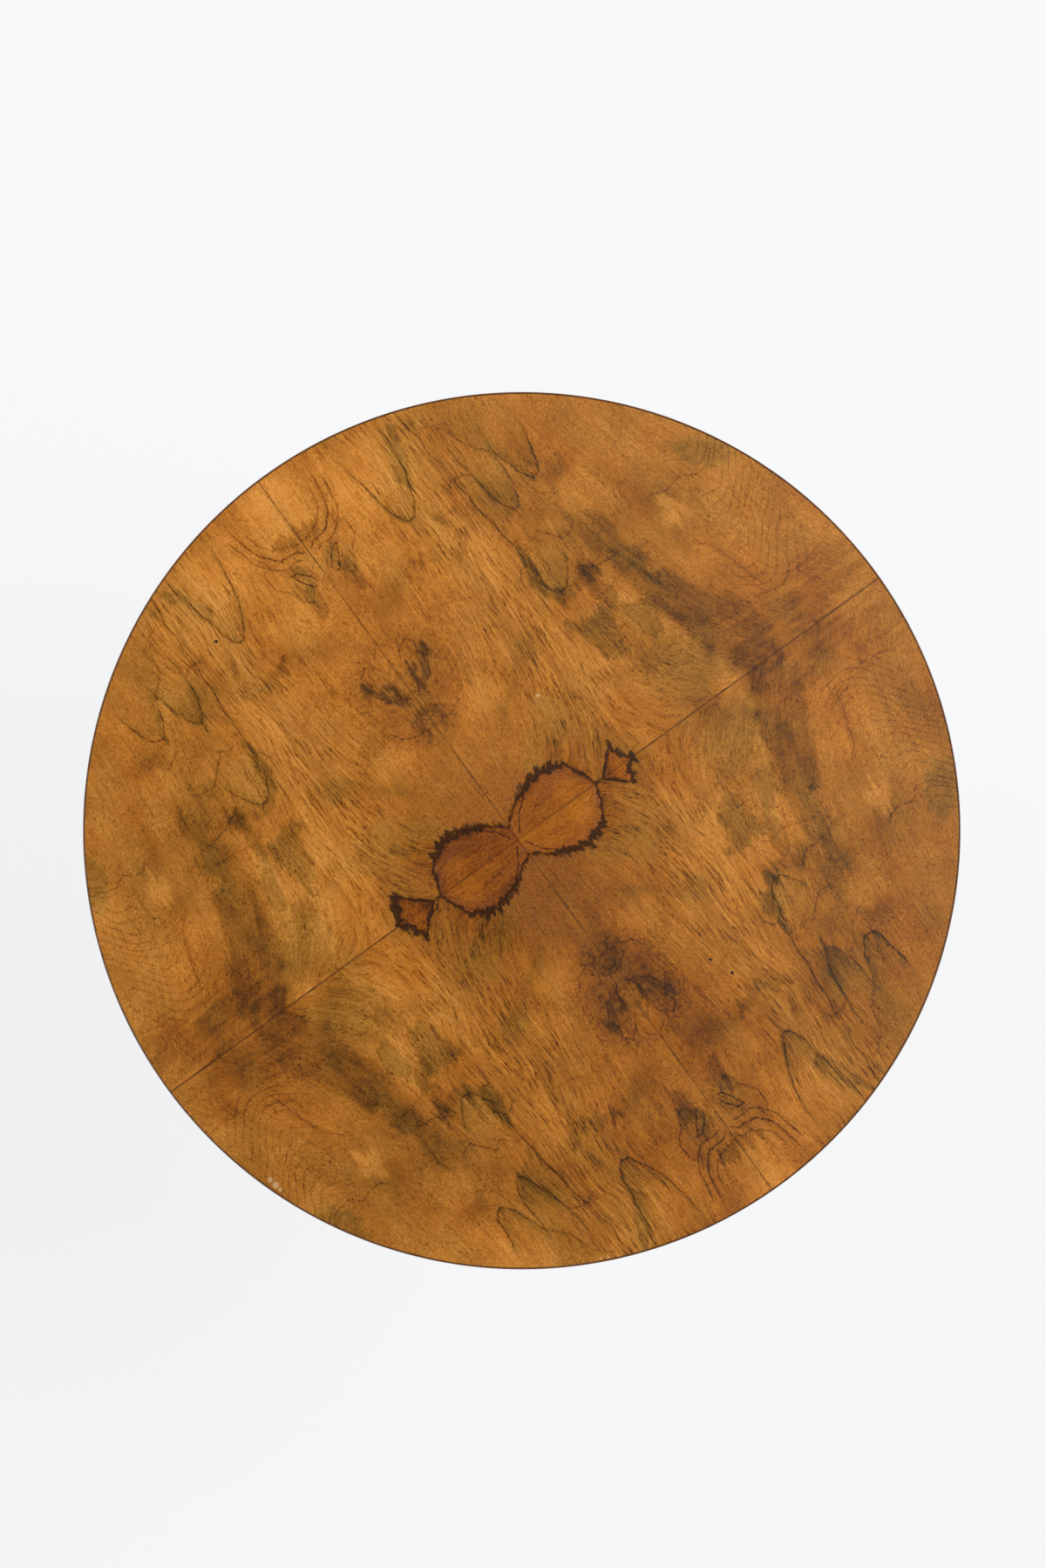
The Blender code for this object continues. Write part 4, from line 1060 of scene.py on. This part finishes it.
def figure(u, v, seed, lift, heart_lift, ear_size, drift_and_shade):
    """The figure of one leaf. All leaves share the same clouds and lines, and each has its own fibres
    and a slight drift, whose broad clouds also paint in shade and light. Returns its marks (tone,
    share of olive, ink of the knots, straightness of the fibres), its lines (distance over the heart's
    outline, distance to the nearest thin line, strength of that line, half width of the heart's band in
    centimetres), its place across and along the grain, its drifted place, and its growth lines (place
    between them, strength)."""
    # places drift by smoke of the leaf's own, but not at the seams, where the leaves meet
    free = climb(0, 60, np.minimum(u, v))
    wide = u + 5 * free * smoke(u / 70, v / 70, seed + 1, 2)
    long = v + 5 * free * smoke(u / 70, v / 70, seed + 2, 2)
    grain = across_grain(wide, long)
    jag, stroke = fibre_strokes(grain, long, seed)
    rough = smoke(wide / 9, long / 13, 64, 3)
    cloud_u = wide + 6.5 * smoke(wide / 20, long / 26, 61, 3)
    cloud_v = long + 8.0 * smoke(wide / 20, long / 26, 66, 3) + 0.9 * jag
    tone = cloudy_tone(cloud_u, cloud_v, rough, drift_and_shade)
    olive = 0.27 - 0.22 * climb(120, 10, u) + 0.34 * smoke(wide / 22, long / 30, 81, 3)
    shade, green, edges = dark_masses(wide, long, cloud_u, jag, stroke, rough)
    # the brown corner by the rim is streaked across
    corner = climb(198, 228, wide) * climb(66, 34, long)
    shade += 0.06 * corner * smoke(wide / 26 - long / 60, long / 3.4 + wide / 40, seed + 30, 2)
    tone = MIDDLE_TONE + CONTRAST * (tone - shade - MIDDLE_TONE)
    olive += green
    nearest, strength, shade, green = thin_lines(wide, long, jag, stroke, edges)
    outline, half_band = heart_outline(u, v, seed, ear_size)
    inner, meridian = heart_tone(u, v, outline, seed, heart_lift)
    # round the heart the fibres are darkened, in a fringe and in feathers beside its tip
    fringe = np.exp(-np.clip(outline, 0, None) / 9) * (u < 118)
    feather = climb(0.1, 0.7, smoke(grain / 2.4, long / 20, seed + 24, 2))
    shade += 0.16 * fringe * np.clip(0.5 + 0.8 * stroke, 0, 1)
    shade += 0.11 * feather * cloud(u, v, 82, 32, 30, 26, 0)
    olive += green + 0.25 * fringe
    # lift is the leaf's own tone and partly painted light and shade
    tone = np.where(outline < 0, inner, tone - shade + 0.05 * stroke) + lift
    ink = knot_ink(wide, long, jag, stroke, rough)
    in_heart = (outline < 0.5) & (u < HEART_END)
    in_ear = (outline < 0) & (u > HEART_END)
    straight = 0.25 + 0.75 * np.exp(-(((wide - 98) / 46) ** 2)) * (0.3 + 0.7 * climb(0, 45, long))
    straight = np.where(in_heart, 0.45, np.where(in_ear, 0.2, straight))
    fibre_place = np.where(in_heart, meridian, grain), np.where(in_heart, u, long)
    marks = (tone, np.clip(olive, 0, 1), ink, straight)
    lines = (outline, nearest, strength, half_band / 10)
    return marks, lines, fibre_place, (wide, long), growth_lines(wide, long)


GOLD_SHADES = ((69, 35, 6), (110, 59, 9), (147, 84, 18), (175, 106, 31), (203, 129, 47), (225, 150, 66))
OLIVE_SHADES = ((56, 36, 7), (100, 62, 11), (137, 88, 22), (166, 111, 38), (195, 136, 59), (215, 153, 78))
HEART_SHADES = ((64, 28, 5), (109, 53, 10), (146, 79, 14), (171, 100, 20), (196, 125, 38), (216, 149, 62))
FIGURE_INK = (44, 22, 5)
# strength of the painted glints, specks of reflection from the polish, in red, green and blue
PAINTED_GLINT = (0.020, 0.0115, 0.0042)
# colour of the exit holes: painted shade within the holes
HOLE_PAINTED_SHADE = (24, 15, 9)
PALE_CHIP = (206, 172, 118)
EXIT_HOLES = ((-0.2298, 0.1423), (0.1419, -0.0969), (0.1582, -0.1068))
EXIT_HOLE_RADIUS = 0.0012
HEART_SEAM = (0.0011, 0.0003)
CROSS_SEAM = (0.0008, 0.0002)
POLISH_ROUGHNESS = 0.19
POLISH_RELIEF = 0.00003
# Chips of the polish: x, y, radius
CHIPS = (
    (-0.1893, -0.2624, 0.0020),
    (-0.1850, -0.2665, 0.0026),
    (-0.1815, -0.2700, 0.0014),
    (0.0121, 0.1017, 0.0016),
    (0.0593, -0.3216, 0.0009),
    (0.0652, -0.3204, 0.0009),
)


def distance_to(tree, place, point):
    """How far a place lies from a fixed point."""
    return wire(tree, "ShaderNodeVectorMath", {0: place, 1: point}, operation="DISTANCE").outputs["Value"]


def fibre_tone(tree, tone, straight, grain, leaf, stroke, speckle):
    """Tone with the fibres on it: dark strokes, hairs and longer streaks where they run straight, spots
    and speckle where they do not, and pores all over, in patches and more of it on pale wood."""
    loose = calc(tree, "MULTIPLY_ADD", straight, -0.8, 1.3)
    dark_stroke = calc(tree, "MULTIPLY", ease(tree, stroke, -0.1, 0.9), straight)
    streak = calc(tree, "MULTIPLY", ripple(tree, grain, (0.0028, 0.05, 1.0), 2.0), straight)
    hair = ease(tree, ripple(tree, grain, (0.0013, 0.024, 1.0), 1.0), 0.3, 0.75)
    pore = ease(tree, ripple(tree, grain, (0.0007, 0.0034, 1.0), 1.0), 0.1, 0.8)
    spot = ease(tree, ripple(tree, leaf, (0.0030, 0.0075, 1.0), 4.0), 0.1, 1.0)
    patchy = calc(tree, "MULTIPLY_ADD", ripple(tree, leaf, (0.018, 0.026, 1.0), 2.0), 0.5, 1.15)
    fine = calc(tree, "MULTIPLY_ADD", dark_stroke, -0.34, 0.062)
    fine = calc(tree, "MULTIPLY_ADD", streak, 0.11, fine)
    fine = calc(tree, "MULTIPLY_ADD", calc(tree, "MULTIPLY", hair, straight), -0.20, fine)
    fine = calc(tree, "MULTIPLY_ADD", pore, -0.18, fine)
    fine = calc(tree, "MULTIPLY_ADD", calc(tree, "MULTIPLY", spot, loose), -0.12, fine)
    fine = calc(tree, "MULTIPLY_ADD", calc(tree, "MULTIPLY", speckle, loose), 0.12, fine)
    fine = calc(tree, "MULTIPLY", fine, patchy)
    fine = calc(tree, "MULTIPLY", fine, calc(tree, "MULTIPLY_ADD", tone, 0.55, 0.72))
    return calc(tree, "ADD", tone, fine)


def line_tone(tree, tone, nearest, strength, leaf, speckle):
    """Tone with the lines on it: thin ones, which fade out within a millimetre, and growth lines with
    slightly paler wood between them. Both weaken here and there."""
    broken = calc(tree, "MULTIPLY_ADD", ripple(tree, leaf, (0.009, 0.009, 1.0), 1.0), 0.45, 0.8, clamp=True)
    wander = calc(tree, "MULTIPLY_ADD", speckle, 0.25, calc(tree, "ABSOLUTE", nearest))
    core = calc(tree, "MULTIPLY", ease(tree, wander, 1.0, 0.2), 0.40)
    core = calc(tree, "MULTIPLY", core, calc(tree, "MULTIPLY", strength, broken))
    tone = calc(tree, "SUBTRACT", tone, core)
    growth = wire(tree, "ShaderNodeUVMap", uv_map="growth").outputs[0]
    phase, shown, _ = wire(tree, "ShaderNodeSeparateXYZ", {0: growth}).outputs
    ring = calc(tree, "MULTIPLY", calc(tree, "PINGPONG", phase, 0.5), GROWTH_SPACING)
    ring = calc(tree, "MULTIPLY_ADD", speckle, 0.15, ring)
    mark = calc(tree, "MULTIPLY_ADD", ease(tree, ring, 1.5, 0.3), 0.18, -0.03)
    mark = calc(tree, "MULTIPLY", mark, calc(tree, "MULTIPLY", shown, broken))
    return calc(tree, "SUBTRACT", tone, mark)


def painted_glints(tree, colour, grain, here):
    """Colour with painted glints: specks of reflection from the polish in the pores, nearly grey,
    painted as dashes along the grain and dots.
    """
    dash = ripple(tree, grain, (0.0010, 0.0042, 1.0), 2.0)
    dot = ripple(tree, here, (0.0012, 0.0012, 0.0012), 2.0)
    feeds = {0: calc(tree, "ADD", dash, dot), 1: PAINTED_GLINT, 2: colour}
    colour = wire(tree, "ShaderNodeVectorMath", feeds, operation="MULTIPLY_ADD").outputs[0]
    feeds = {0: colour, 1: (0.0, 0.0, 0.0)}
    return wire(tree, "ShaderNodeVectorMath", feeds, operation="MAXIMUM").outputs[0]


def black_share(tree, outline, half_band, ink, grain, leaf):
    """Share of black: the uneven band along heart and ear, feathered along the fibres on its outer side,
    and the knots."""
    feather = ripple(tree, grain, (0.0018, 0.05, 1.0), 1.0)
    feather = calc(tree, "MULTIPLY", feather, ease(tree, outline, -0.5, 1.0))
    edge = calc(tree, "MULTIPLY_ADD", feather, -2.7, calc(tree, "ABSOLUTE", outline))
    edge = calc(tree, "MULTIPLY_ADD", ripple(tree, leaf, (0.0025, 0.0025, 1.0), 2.0), 1.0, edge)
    edge = calc(tree, "MULTIPLY_ADD", ripple(tree, leaf, (0.009, 0.009, 1.0), 1.0), 0.8, edge)
    edge = calc(tree, "MULTIPLY_ADD", half_band, -10.0, edge)
    band = ease(tree, edge, 0.8, -0.9)
    return calc(tree, "MAXIMUM", calc(tree, "MULTIPLY", band, 0.9), ink)


def seam_share(tree, leaf, mottle, inside):
    """Share of the seams: an uneven dark line of glue and wax along both straight edges of a leaf, weaker
    inside the heart."""
    along, across, _ = wire(tree, "ShaderNodeSeparateXYZ", {0: leaf}).outputs
    wax = calc(tree, "MULTIPLY_ADD", mottle, 0.45, 0.6, clamp=True)
    heart_seam = calc(tree, "MULTIPLY", ease(tree, across, *HEART_SEAM), wax)
    heart_seam = calc(tree, "MULTIPLY", heart_seam, calc(tree, "MULTIPLY_ADD", inside, -0.35, 1.0))
    thin_wax = calc(tree, "MULTIPLY", wax, 0.85)
    cross_seam = calc(tree, "MULTIPLY", ease(tree, along, *CROSS_SEAM), thin_wax)
    return calc(tree, "MAXIMUM", heart_seam, cross_seam)


def marred(tree, colour, here, height, speckle):
    """Colour with exit holes, dark spots of painted shade where the holes are, and chips of the polish on
    it, round spots at the given height.
    """
    for x, y in EXIT_HOLES:
        far = distance_to(tree, here, (x, y, height))
        hole = ease(tree, far, EXIT_HOLE_RADIUS * 1.2, EXIT_HOLE_RADIUS * 0.8)
        # the dark spot is painted shade of the hole
        colour = stain(tree, hole, colour, display(*HOLE_PAINTED_SHADE))
    for x, y, radius in CHIPS:
        far = distance_to(tree, here, (x, y, height))
        far = calc(tree, "MULTIPLY_ADD", speckle, 0.0008, far)
        chip = ease(tree, far, radius * 1.2, radius * 0.7)
        colour = stain(tree, calc(tree, "MULTIPLY", chip, 0.7), colour, display(*PALE_CHIP))
    return colour


def figured_finish(name, height):
    """Figured walnut under old shellac. Tone, olive, knots, outline and lines come with the mesh. Fibres,
    mottle and lines change the tone, which picks from three palettes, and painted glints of the
    polish, black, seams and damage go over that. Exit holes, dark spots of painted shade, and chips
    lie at the given height."""
    tree, shader, material = new_finish(name, POLISH_ROUGHNESS)
    marks = wire(tree, "ShaderNodeAttribute", attribute_name="figure")
    lines = wire(tree, "ShaderNodeAttribute", attribute_name="lines")
    tone, olive, ink = wire(tree, "ShaderNodeSeparateXYZ", {0: marks.outputs["Vector"]}).outputs
    straight = marks.outputs["Alpha"]
    outline, nearest, strength = wire(tree, "ShaderNodeSeparateXYZ", {0: lines.outputs["Vector"]}).outputs
    half_band = lines.outputs["Alpha"]
    grain = wire(tree, "ShaderNodeUVMap", uv_map="grain").outputs[0]
    leaf = wire(tree, "ShaderNodeUVMap", uv_map="leaf").outputs[0]
    here = wire(tree, "ShaderNodeTexCoord").outputs["Object"]
    mottle = ripple(tree, leaf, (0.034, 0.042, 1.0), 5.0)
    stroke = ripple(tree, grain, (0.0010, 0.018, 1.0), 2.0)
    speckle = ripple(tree, here, (0.0014, 0.0014, 0.0014), 3.0)
    tone = fibre_tone(tree, tone, straight, grain, leaf, stroke, speckle)
    tone = calc(tree, "MULTIPLY_ADD", mottle, 0.11, tone)
    tone = line_tone(tree, tone, nearest, strength, leaf, speckle)
    inside = ease(tree, outline, 0.4, -0.6)
    colour = stain(tree, olive, palette(tree, tone, GOLD_SHADES), palette(tree, tone, OLIVE_SHADES))
    colour = stain(tree, inside, colour, palette(tree, tone, HEART_SHADES))
    # painted glints: reflections of the polish painted into the colour
    colour = painted_glints(tree, colour, grain, here)
    black = black_share(tree, outline, half_band, ink, grain, leaf)
    colour = stain(tree, black, colour, display(*FIGURE_INK))
    seam = seam_share(tree, leaf, mottle, inside)
    colour = stain(tree, seam, colour, display(*FIGURE_INK))
    colour = marred(tree, colour, here, height, speckle)
    tree.links.new(colour, shader.inputs["Base Color"])
    worn = ripple(tree, here, (0.05, 0.05, 0.05), 3.0)
    rough = calc(tree, "MULTIPLY_ADD", worn, 0.03, POLISH_ROUGHNESS)
    rough = calc(tree, "MULTIPLY_ADD", stroke, 0.03, rough)
    tree.links.new(rough, shader.inputs["Roughness"])
    # no relief along the outline of the heart, where the fibres change direction
    calm = ease(tree, calc(tree, "ABSOLUTE", outline), 1.2, 2.4)
    raise_grain(tree, shader, calc(tree, "MULTIPLY", stroke, calm), POLISH_RELIEF)
    return material


def leaf_grid(first, second, radius):
    """Places of one leaf in its own axes: a square grid, crowded towards the cross, is bent into a
    quarter disc (each side keeps x over the root of 1 less half the other's square), and every ray
    from the cross is then scaled to end on the circle round the middle of the top."""
    even = np.linspace(0, 1, LEAF_ROWS + 1)
    crowded = even * (1 - LEAF_CROWDING + LEAF_CROWDING * even)
    a, b = np.meshgrid(crowded, crowded, indexing="ij")
    x = a * np.sqrt(1 - b**2 / 2)
    y = b * np.sqrt(1 - a**2 / 2)
    angle = np.arctan2(y, x + 1e-12)
    direction = np.cos(angle)[..., None] * first + np.sin(angle)[..., None] * second
    start = SEAM_CROSS + HALF_SEAM * (first + second)
    along = direction @ start
    reach = np.sqrt(along**2 + radius**2 - start @ start) - along
    return x * reach + HALF_SEAM, y * reach + HALF_SEAM


def leaf_faces(rows):
    """Faces of a slab: the grid on top, a wall round its border and one face below."""
    count = rows + 1
    column = np.arange(rows)[:, None] * count
    row = np.arange(rows)[None, :]
    top = np.stack([column + row, column + count + row, column + count + row + 1, column + row + 1], -1)
    side = np.arange(rows)
    border = np.concatenate([side * count, rows * count + side, (rows - side) * count + rows, rows - side])
    under = count**2 + np.arange(len(border))
    wall = np.stack([border, under, np.roll(under, -1), np.roll(border, -1)], -1)
    return top.reshape(-1, 4).tolist() + wall.tolist() + [under[::-1].tolist()], border


leaf_low, leaf_high = np.array(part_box("veneer_leaf_north"))
leaf_bottom, leaf_top = leaf_low[2], leaf_high[2]
leaf_radius = backing_high[0]
figured_walnut = figured_finish("figured_walnut", leaf_top)
faces, border = leaf_faces(LEAF_ROWS)
# side, seed of its fibres, lift of its tone, partly painted light and shade that lifts the north and west
# # leaves and lowers the south and east ones, further lift inside the heart, size of its ear
LEAVES = (
    ("north", 11, 0.045, -0.055, 1.0),
    ("west", 23, 0.06, -0.19, 1.2),
    ("south", 37, -0.02, -0.07, 1.1),
    ("east", 53, -0.035, 0.075, 0.96),
)
for quarter, (side, seed, lift, heart_lift, ear_size) in enumerate(LEAVES):
    angle = SEAM_ANGLE + quarter * math.pi / 2
    first = np.array([math.cos(angle), math.sin(angle)])
    second = np.array([-math.sin(angle), math.cos(angle)])
    along_first, along_second = leaf_grid(first, second, leaf_radius)
    flat = SEAM_CROSS + along_first[..., None] * first + along_second[..., None] * second
    flat = flat.reshape(-1, 2)
    top = np.column_stack([flat, np.full(len(flat), leaf_top)])
    bottom = np.column_stack([flat[border], np.full(len(border), leaf_bottom)])
    leaf = put_mesh(f"veneer_leaf_{side}_figured", np.concatenate([top, bottom]), faces)
    # the heart's seam lies along the first axis of every other leaf
    u, v = (along_first, along_second) if quarter % 2 == 0 else (along_second, along_first)
    u, v = u.reshape(-1) / MM, v.reshape(-1) / MM
    marks, lines, fibre_place, leaf_place, growth = figure(
        u, v, seed, lift, heart_lift, ear_size, LEAF_DRIFT_AND_SHADE[side]
    )
    everywhere = np.concatenate([np.arange(len(u)), border])
    for name, channels in (("figure", marks), ("lines", lines)):
        values = np.column_stack(channels)[everywhere]
        leaf.data.attributes.new(name, "FLOAT_COLOR", "POINT").data.foreach_set("color", values.ravel())
    corner = np.empty(len(leaf.data.loops), np.int64)
    leaf.data.loops.foreach_get("vertex_index", corner)
    for name, pair, unit in (("grain", fibre_place, MM), ("leaf", leaf_place, MM), ("growth", growth, 1)):
        places = np.column_stack(pair)[everywhere][corner] * unit
        leaf.data.uv_layers.new(name=name).data.foreach_set("uv", places.ravel())
    settle(leaf, f"veneer_leaf_{side}", figured_walnut)

# Edge band
# A strip of straight-grained walnut bent round the top's edge, flush with the face veneer.
# Its shades are darker than the other walnut's, so from above it reads as a thin dark line.

EDGE_EASING = 0.0006
EDGE_SHADES = ((56, 31, 15), (79, 46, 22), (100, 61, 31), (119, 76, 41), (138, 92, 53))

edge_low, edge_high = np.array(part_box("edge_band"))
edge_outline = ring_outline(leaf_radius + GLUE_LINE, edge_high[0], edge_low[2], edge_high[2])
edge_band = turned("edge_band_strip", eased(edge_outline, EDGE_EASING), TOP_SIDES)
edge_walnut = walnut_finish("edge_walnut", "z", "x", shades=EDGE_SHADES)
settle(edge_band, "edge_band", edge_walnut)

# Floor
# A plain pale floor, wide enough to fill the view, that keeps the table's soft shadow.
# It lies a hair below the soles, so that no two faces share a plane.

FLOOR_RADIUS = 9.0
FLOOR_SIDES = 96
FLOOR_SHADE = (248, 249, 251)
FLOOR_GLOW = 0.85
FLOOR_GAP = 0.0003


def seen_rays(tree):
    """1 for the rays by which the camera sees a thing, straight, reflected or through glass, and 0 for
    the rays that only carry light."""
    path = wire(tree, "ShaderNodeLightPath")
    seen = calc(tree, "MAXIMUM", path.outputs["Is Camera Ray"], path.outputs["Is Glossy Ray"])
    return calc(tree, "MAXIMUM", seen, path.outputs["Is Transmission Ray"])


floor_ring = np.linspace(0, math.tau, FLOOR_SIDES + 1)[:-1]
floor_points = np.column_stack([np.cos(floor_ring), np.sin(floor_ring), 0 * floor_ring]) * FLOOR_RADIUS
floor_points[:, 2] = -FLOOR_GAP
floor = put_mesh("floor", floor_points, [list(range(FLOOR_SIDES))])
tree, shader, floor_finish = new_finish("floor_paint", 0.9, specular=0.1)
shader.inputs["Base Color"].default_value = display(*FLOOR_SHADE)
glow = wire(tree, "ShaderNodeEmission", {"Color": display(*FLOOR_SHADE), "Strength": 1.0})
share = calc(tree, "MULTIPLY", seen_rays(tree), FLOOR_GLOW)
mixed = wire(tree, "ShaderNodeMixShader", {0: share, 1: shader.outputs[0], 2: glow.outputs[0]})
tree.links.new(mixed.outputs[0], tree.nodes["Material Output"].inputs["Surface"])
floor.data.materials.append(floor_finish)

# Light
# A large soft lamp at the right, a weaker one at the left and a pale room round them.
# Overhead the room is dim, so the polished top keeps its colour.

KEY_PLACE = (2.6, 1.0, 3.4)
KEY_POWER = 128.0
KEY_SIZE = 1.8
FILL_PLACE = (-2.8, 1.2, 2.6)
FILL_POWER = 50.0
FILL_SIZE = 2.4
LAMP_AIM = (0.0, 0.0, 0.4)
ROOM_LIGHT = 0.27
ROOM_PALE = 0.95
ROOM_DIM = 0.01
LAMP_SIDE_HAZE = 0.86
FAR_SIDE_HAZE = 0.18


def lamp(name, place, power, size):
    """A square lamp that faces the middle of the table."""
    data = bpy.data.lights.new(name, "AREA")
    data.energy = power
    data.size = size
    made = bpy.data.objects.new(name, data)
    made.location = place
    aim = np.array(LAMP_AIM) - np.array(place)
    across = math.hypot(aim[0], aim[1])
    made.rotation_euler = (math.atan2(across, -aim[2]), 0.0, math.atan2(-aim[0], aim[1]))
    bpy.context.scene.collection.objects.link(made)


lamp("key_lamp", KEY_PLACE, KEY_POWER, KEY_SIZE)
lamp("fill_lamp", FILL_PLACE, FILL_POWER, FILL_SIZE)

world = bpy.data.worlds.new("room")
bpy.context.scene.world = world
world.use_nodes = True
tree = world.node_tree
sky = wire(tree, "ShaderNodeTexCoord").outputs["Generated"]
east, north, height = wire(tree, "ShaderNodeSeparateXYZ", {0: sky}).outputs
lamp_side = calc(tree, "MULTIPLY_ADD", north, KEY_PLACE[1] / KEY_PLACE[0], east)
near_haze = calc(tree, "MULTIPLY", ease(tree, lamp_side, 0.03, 0.11), LAMP_SIDE_HAZE)
far_haze = calc(tree, "MULTIPLY", ease(tree, lamp_side, -0.02, -0.10), FAR_SIDE_HAZE)
haze = calc(tree, "MAXIMUM", near_haze, far_haze)
pale = calc(tree, "MAXIMUM", ease(tree, height, 0.75, 0.35), haze)
shown = calc(tree, "MULTIPLY_ADD", pale, ROOM_PALE - ROOM_DIM, ROOM_DIM - ROOM_LIGHT)
level = calc(tree, "MULTIPLY_ADD", shown, seen_rays(tree), ROOM_LIGHT)
tree.links.new(level, tree.nodes["Background"].inputs["Strength"])
tree.nodes["Background"].inputs["Color"].default_value = (1.0, 1.0, 1.0, 1.0)

# Camera
# Square to the top and straight above it, a little off its middle, as the photograph is framed.
# The lens is worked out from the distance, so that the top keeps its width in pixels.

PHOTO_SIZE = (1200, 1799)
TOP_MIDDLE_PIXEL = (598.6, 953.1)
TOP_RADIUS_PIXELS = 503.5
CAMERA_DISTANCE = 1.98
SENSOR = 36.0

metres_per_pixel = edge_high[0] / TOP_RADIUS_PIXELS
camera_data = bpy.data.cameras.new("camera")
camera_data.sensor_width = SENSOR
camera_data.lens = SENSOR * CAMERA_DISTANCE / metres_per_pixel / PHOTO_SIZE[1]
camera = bpy.data.objects.new("camera", camera_data)
camera.location = (
    (PHOTO_SIZE[0] / 2 - TOP_MIDDLE_PIXEL[0]) * metres_per_pixel,
    (TOP_MIDDLE_PIXEL[1] - PHOTO_SIZE[1] / 2) * metres_per_pixel,
    leaf_top + CAMERA_DISTANCE,
)
bpy.context.scene.collection.objects.link(camera)
bpy.context.scene.camera = camera
bpy.context.scene.view_settings.view_transform = "Standard"
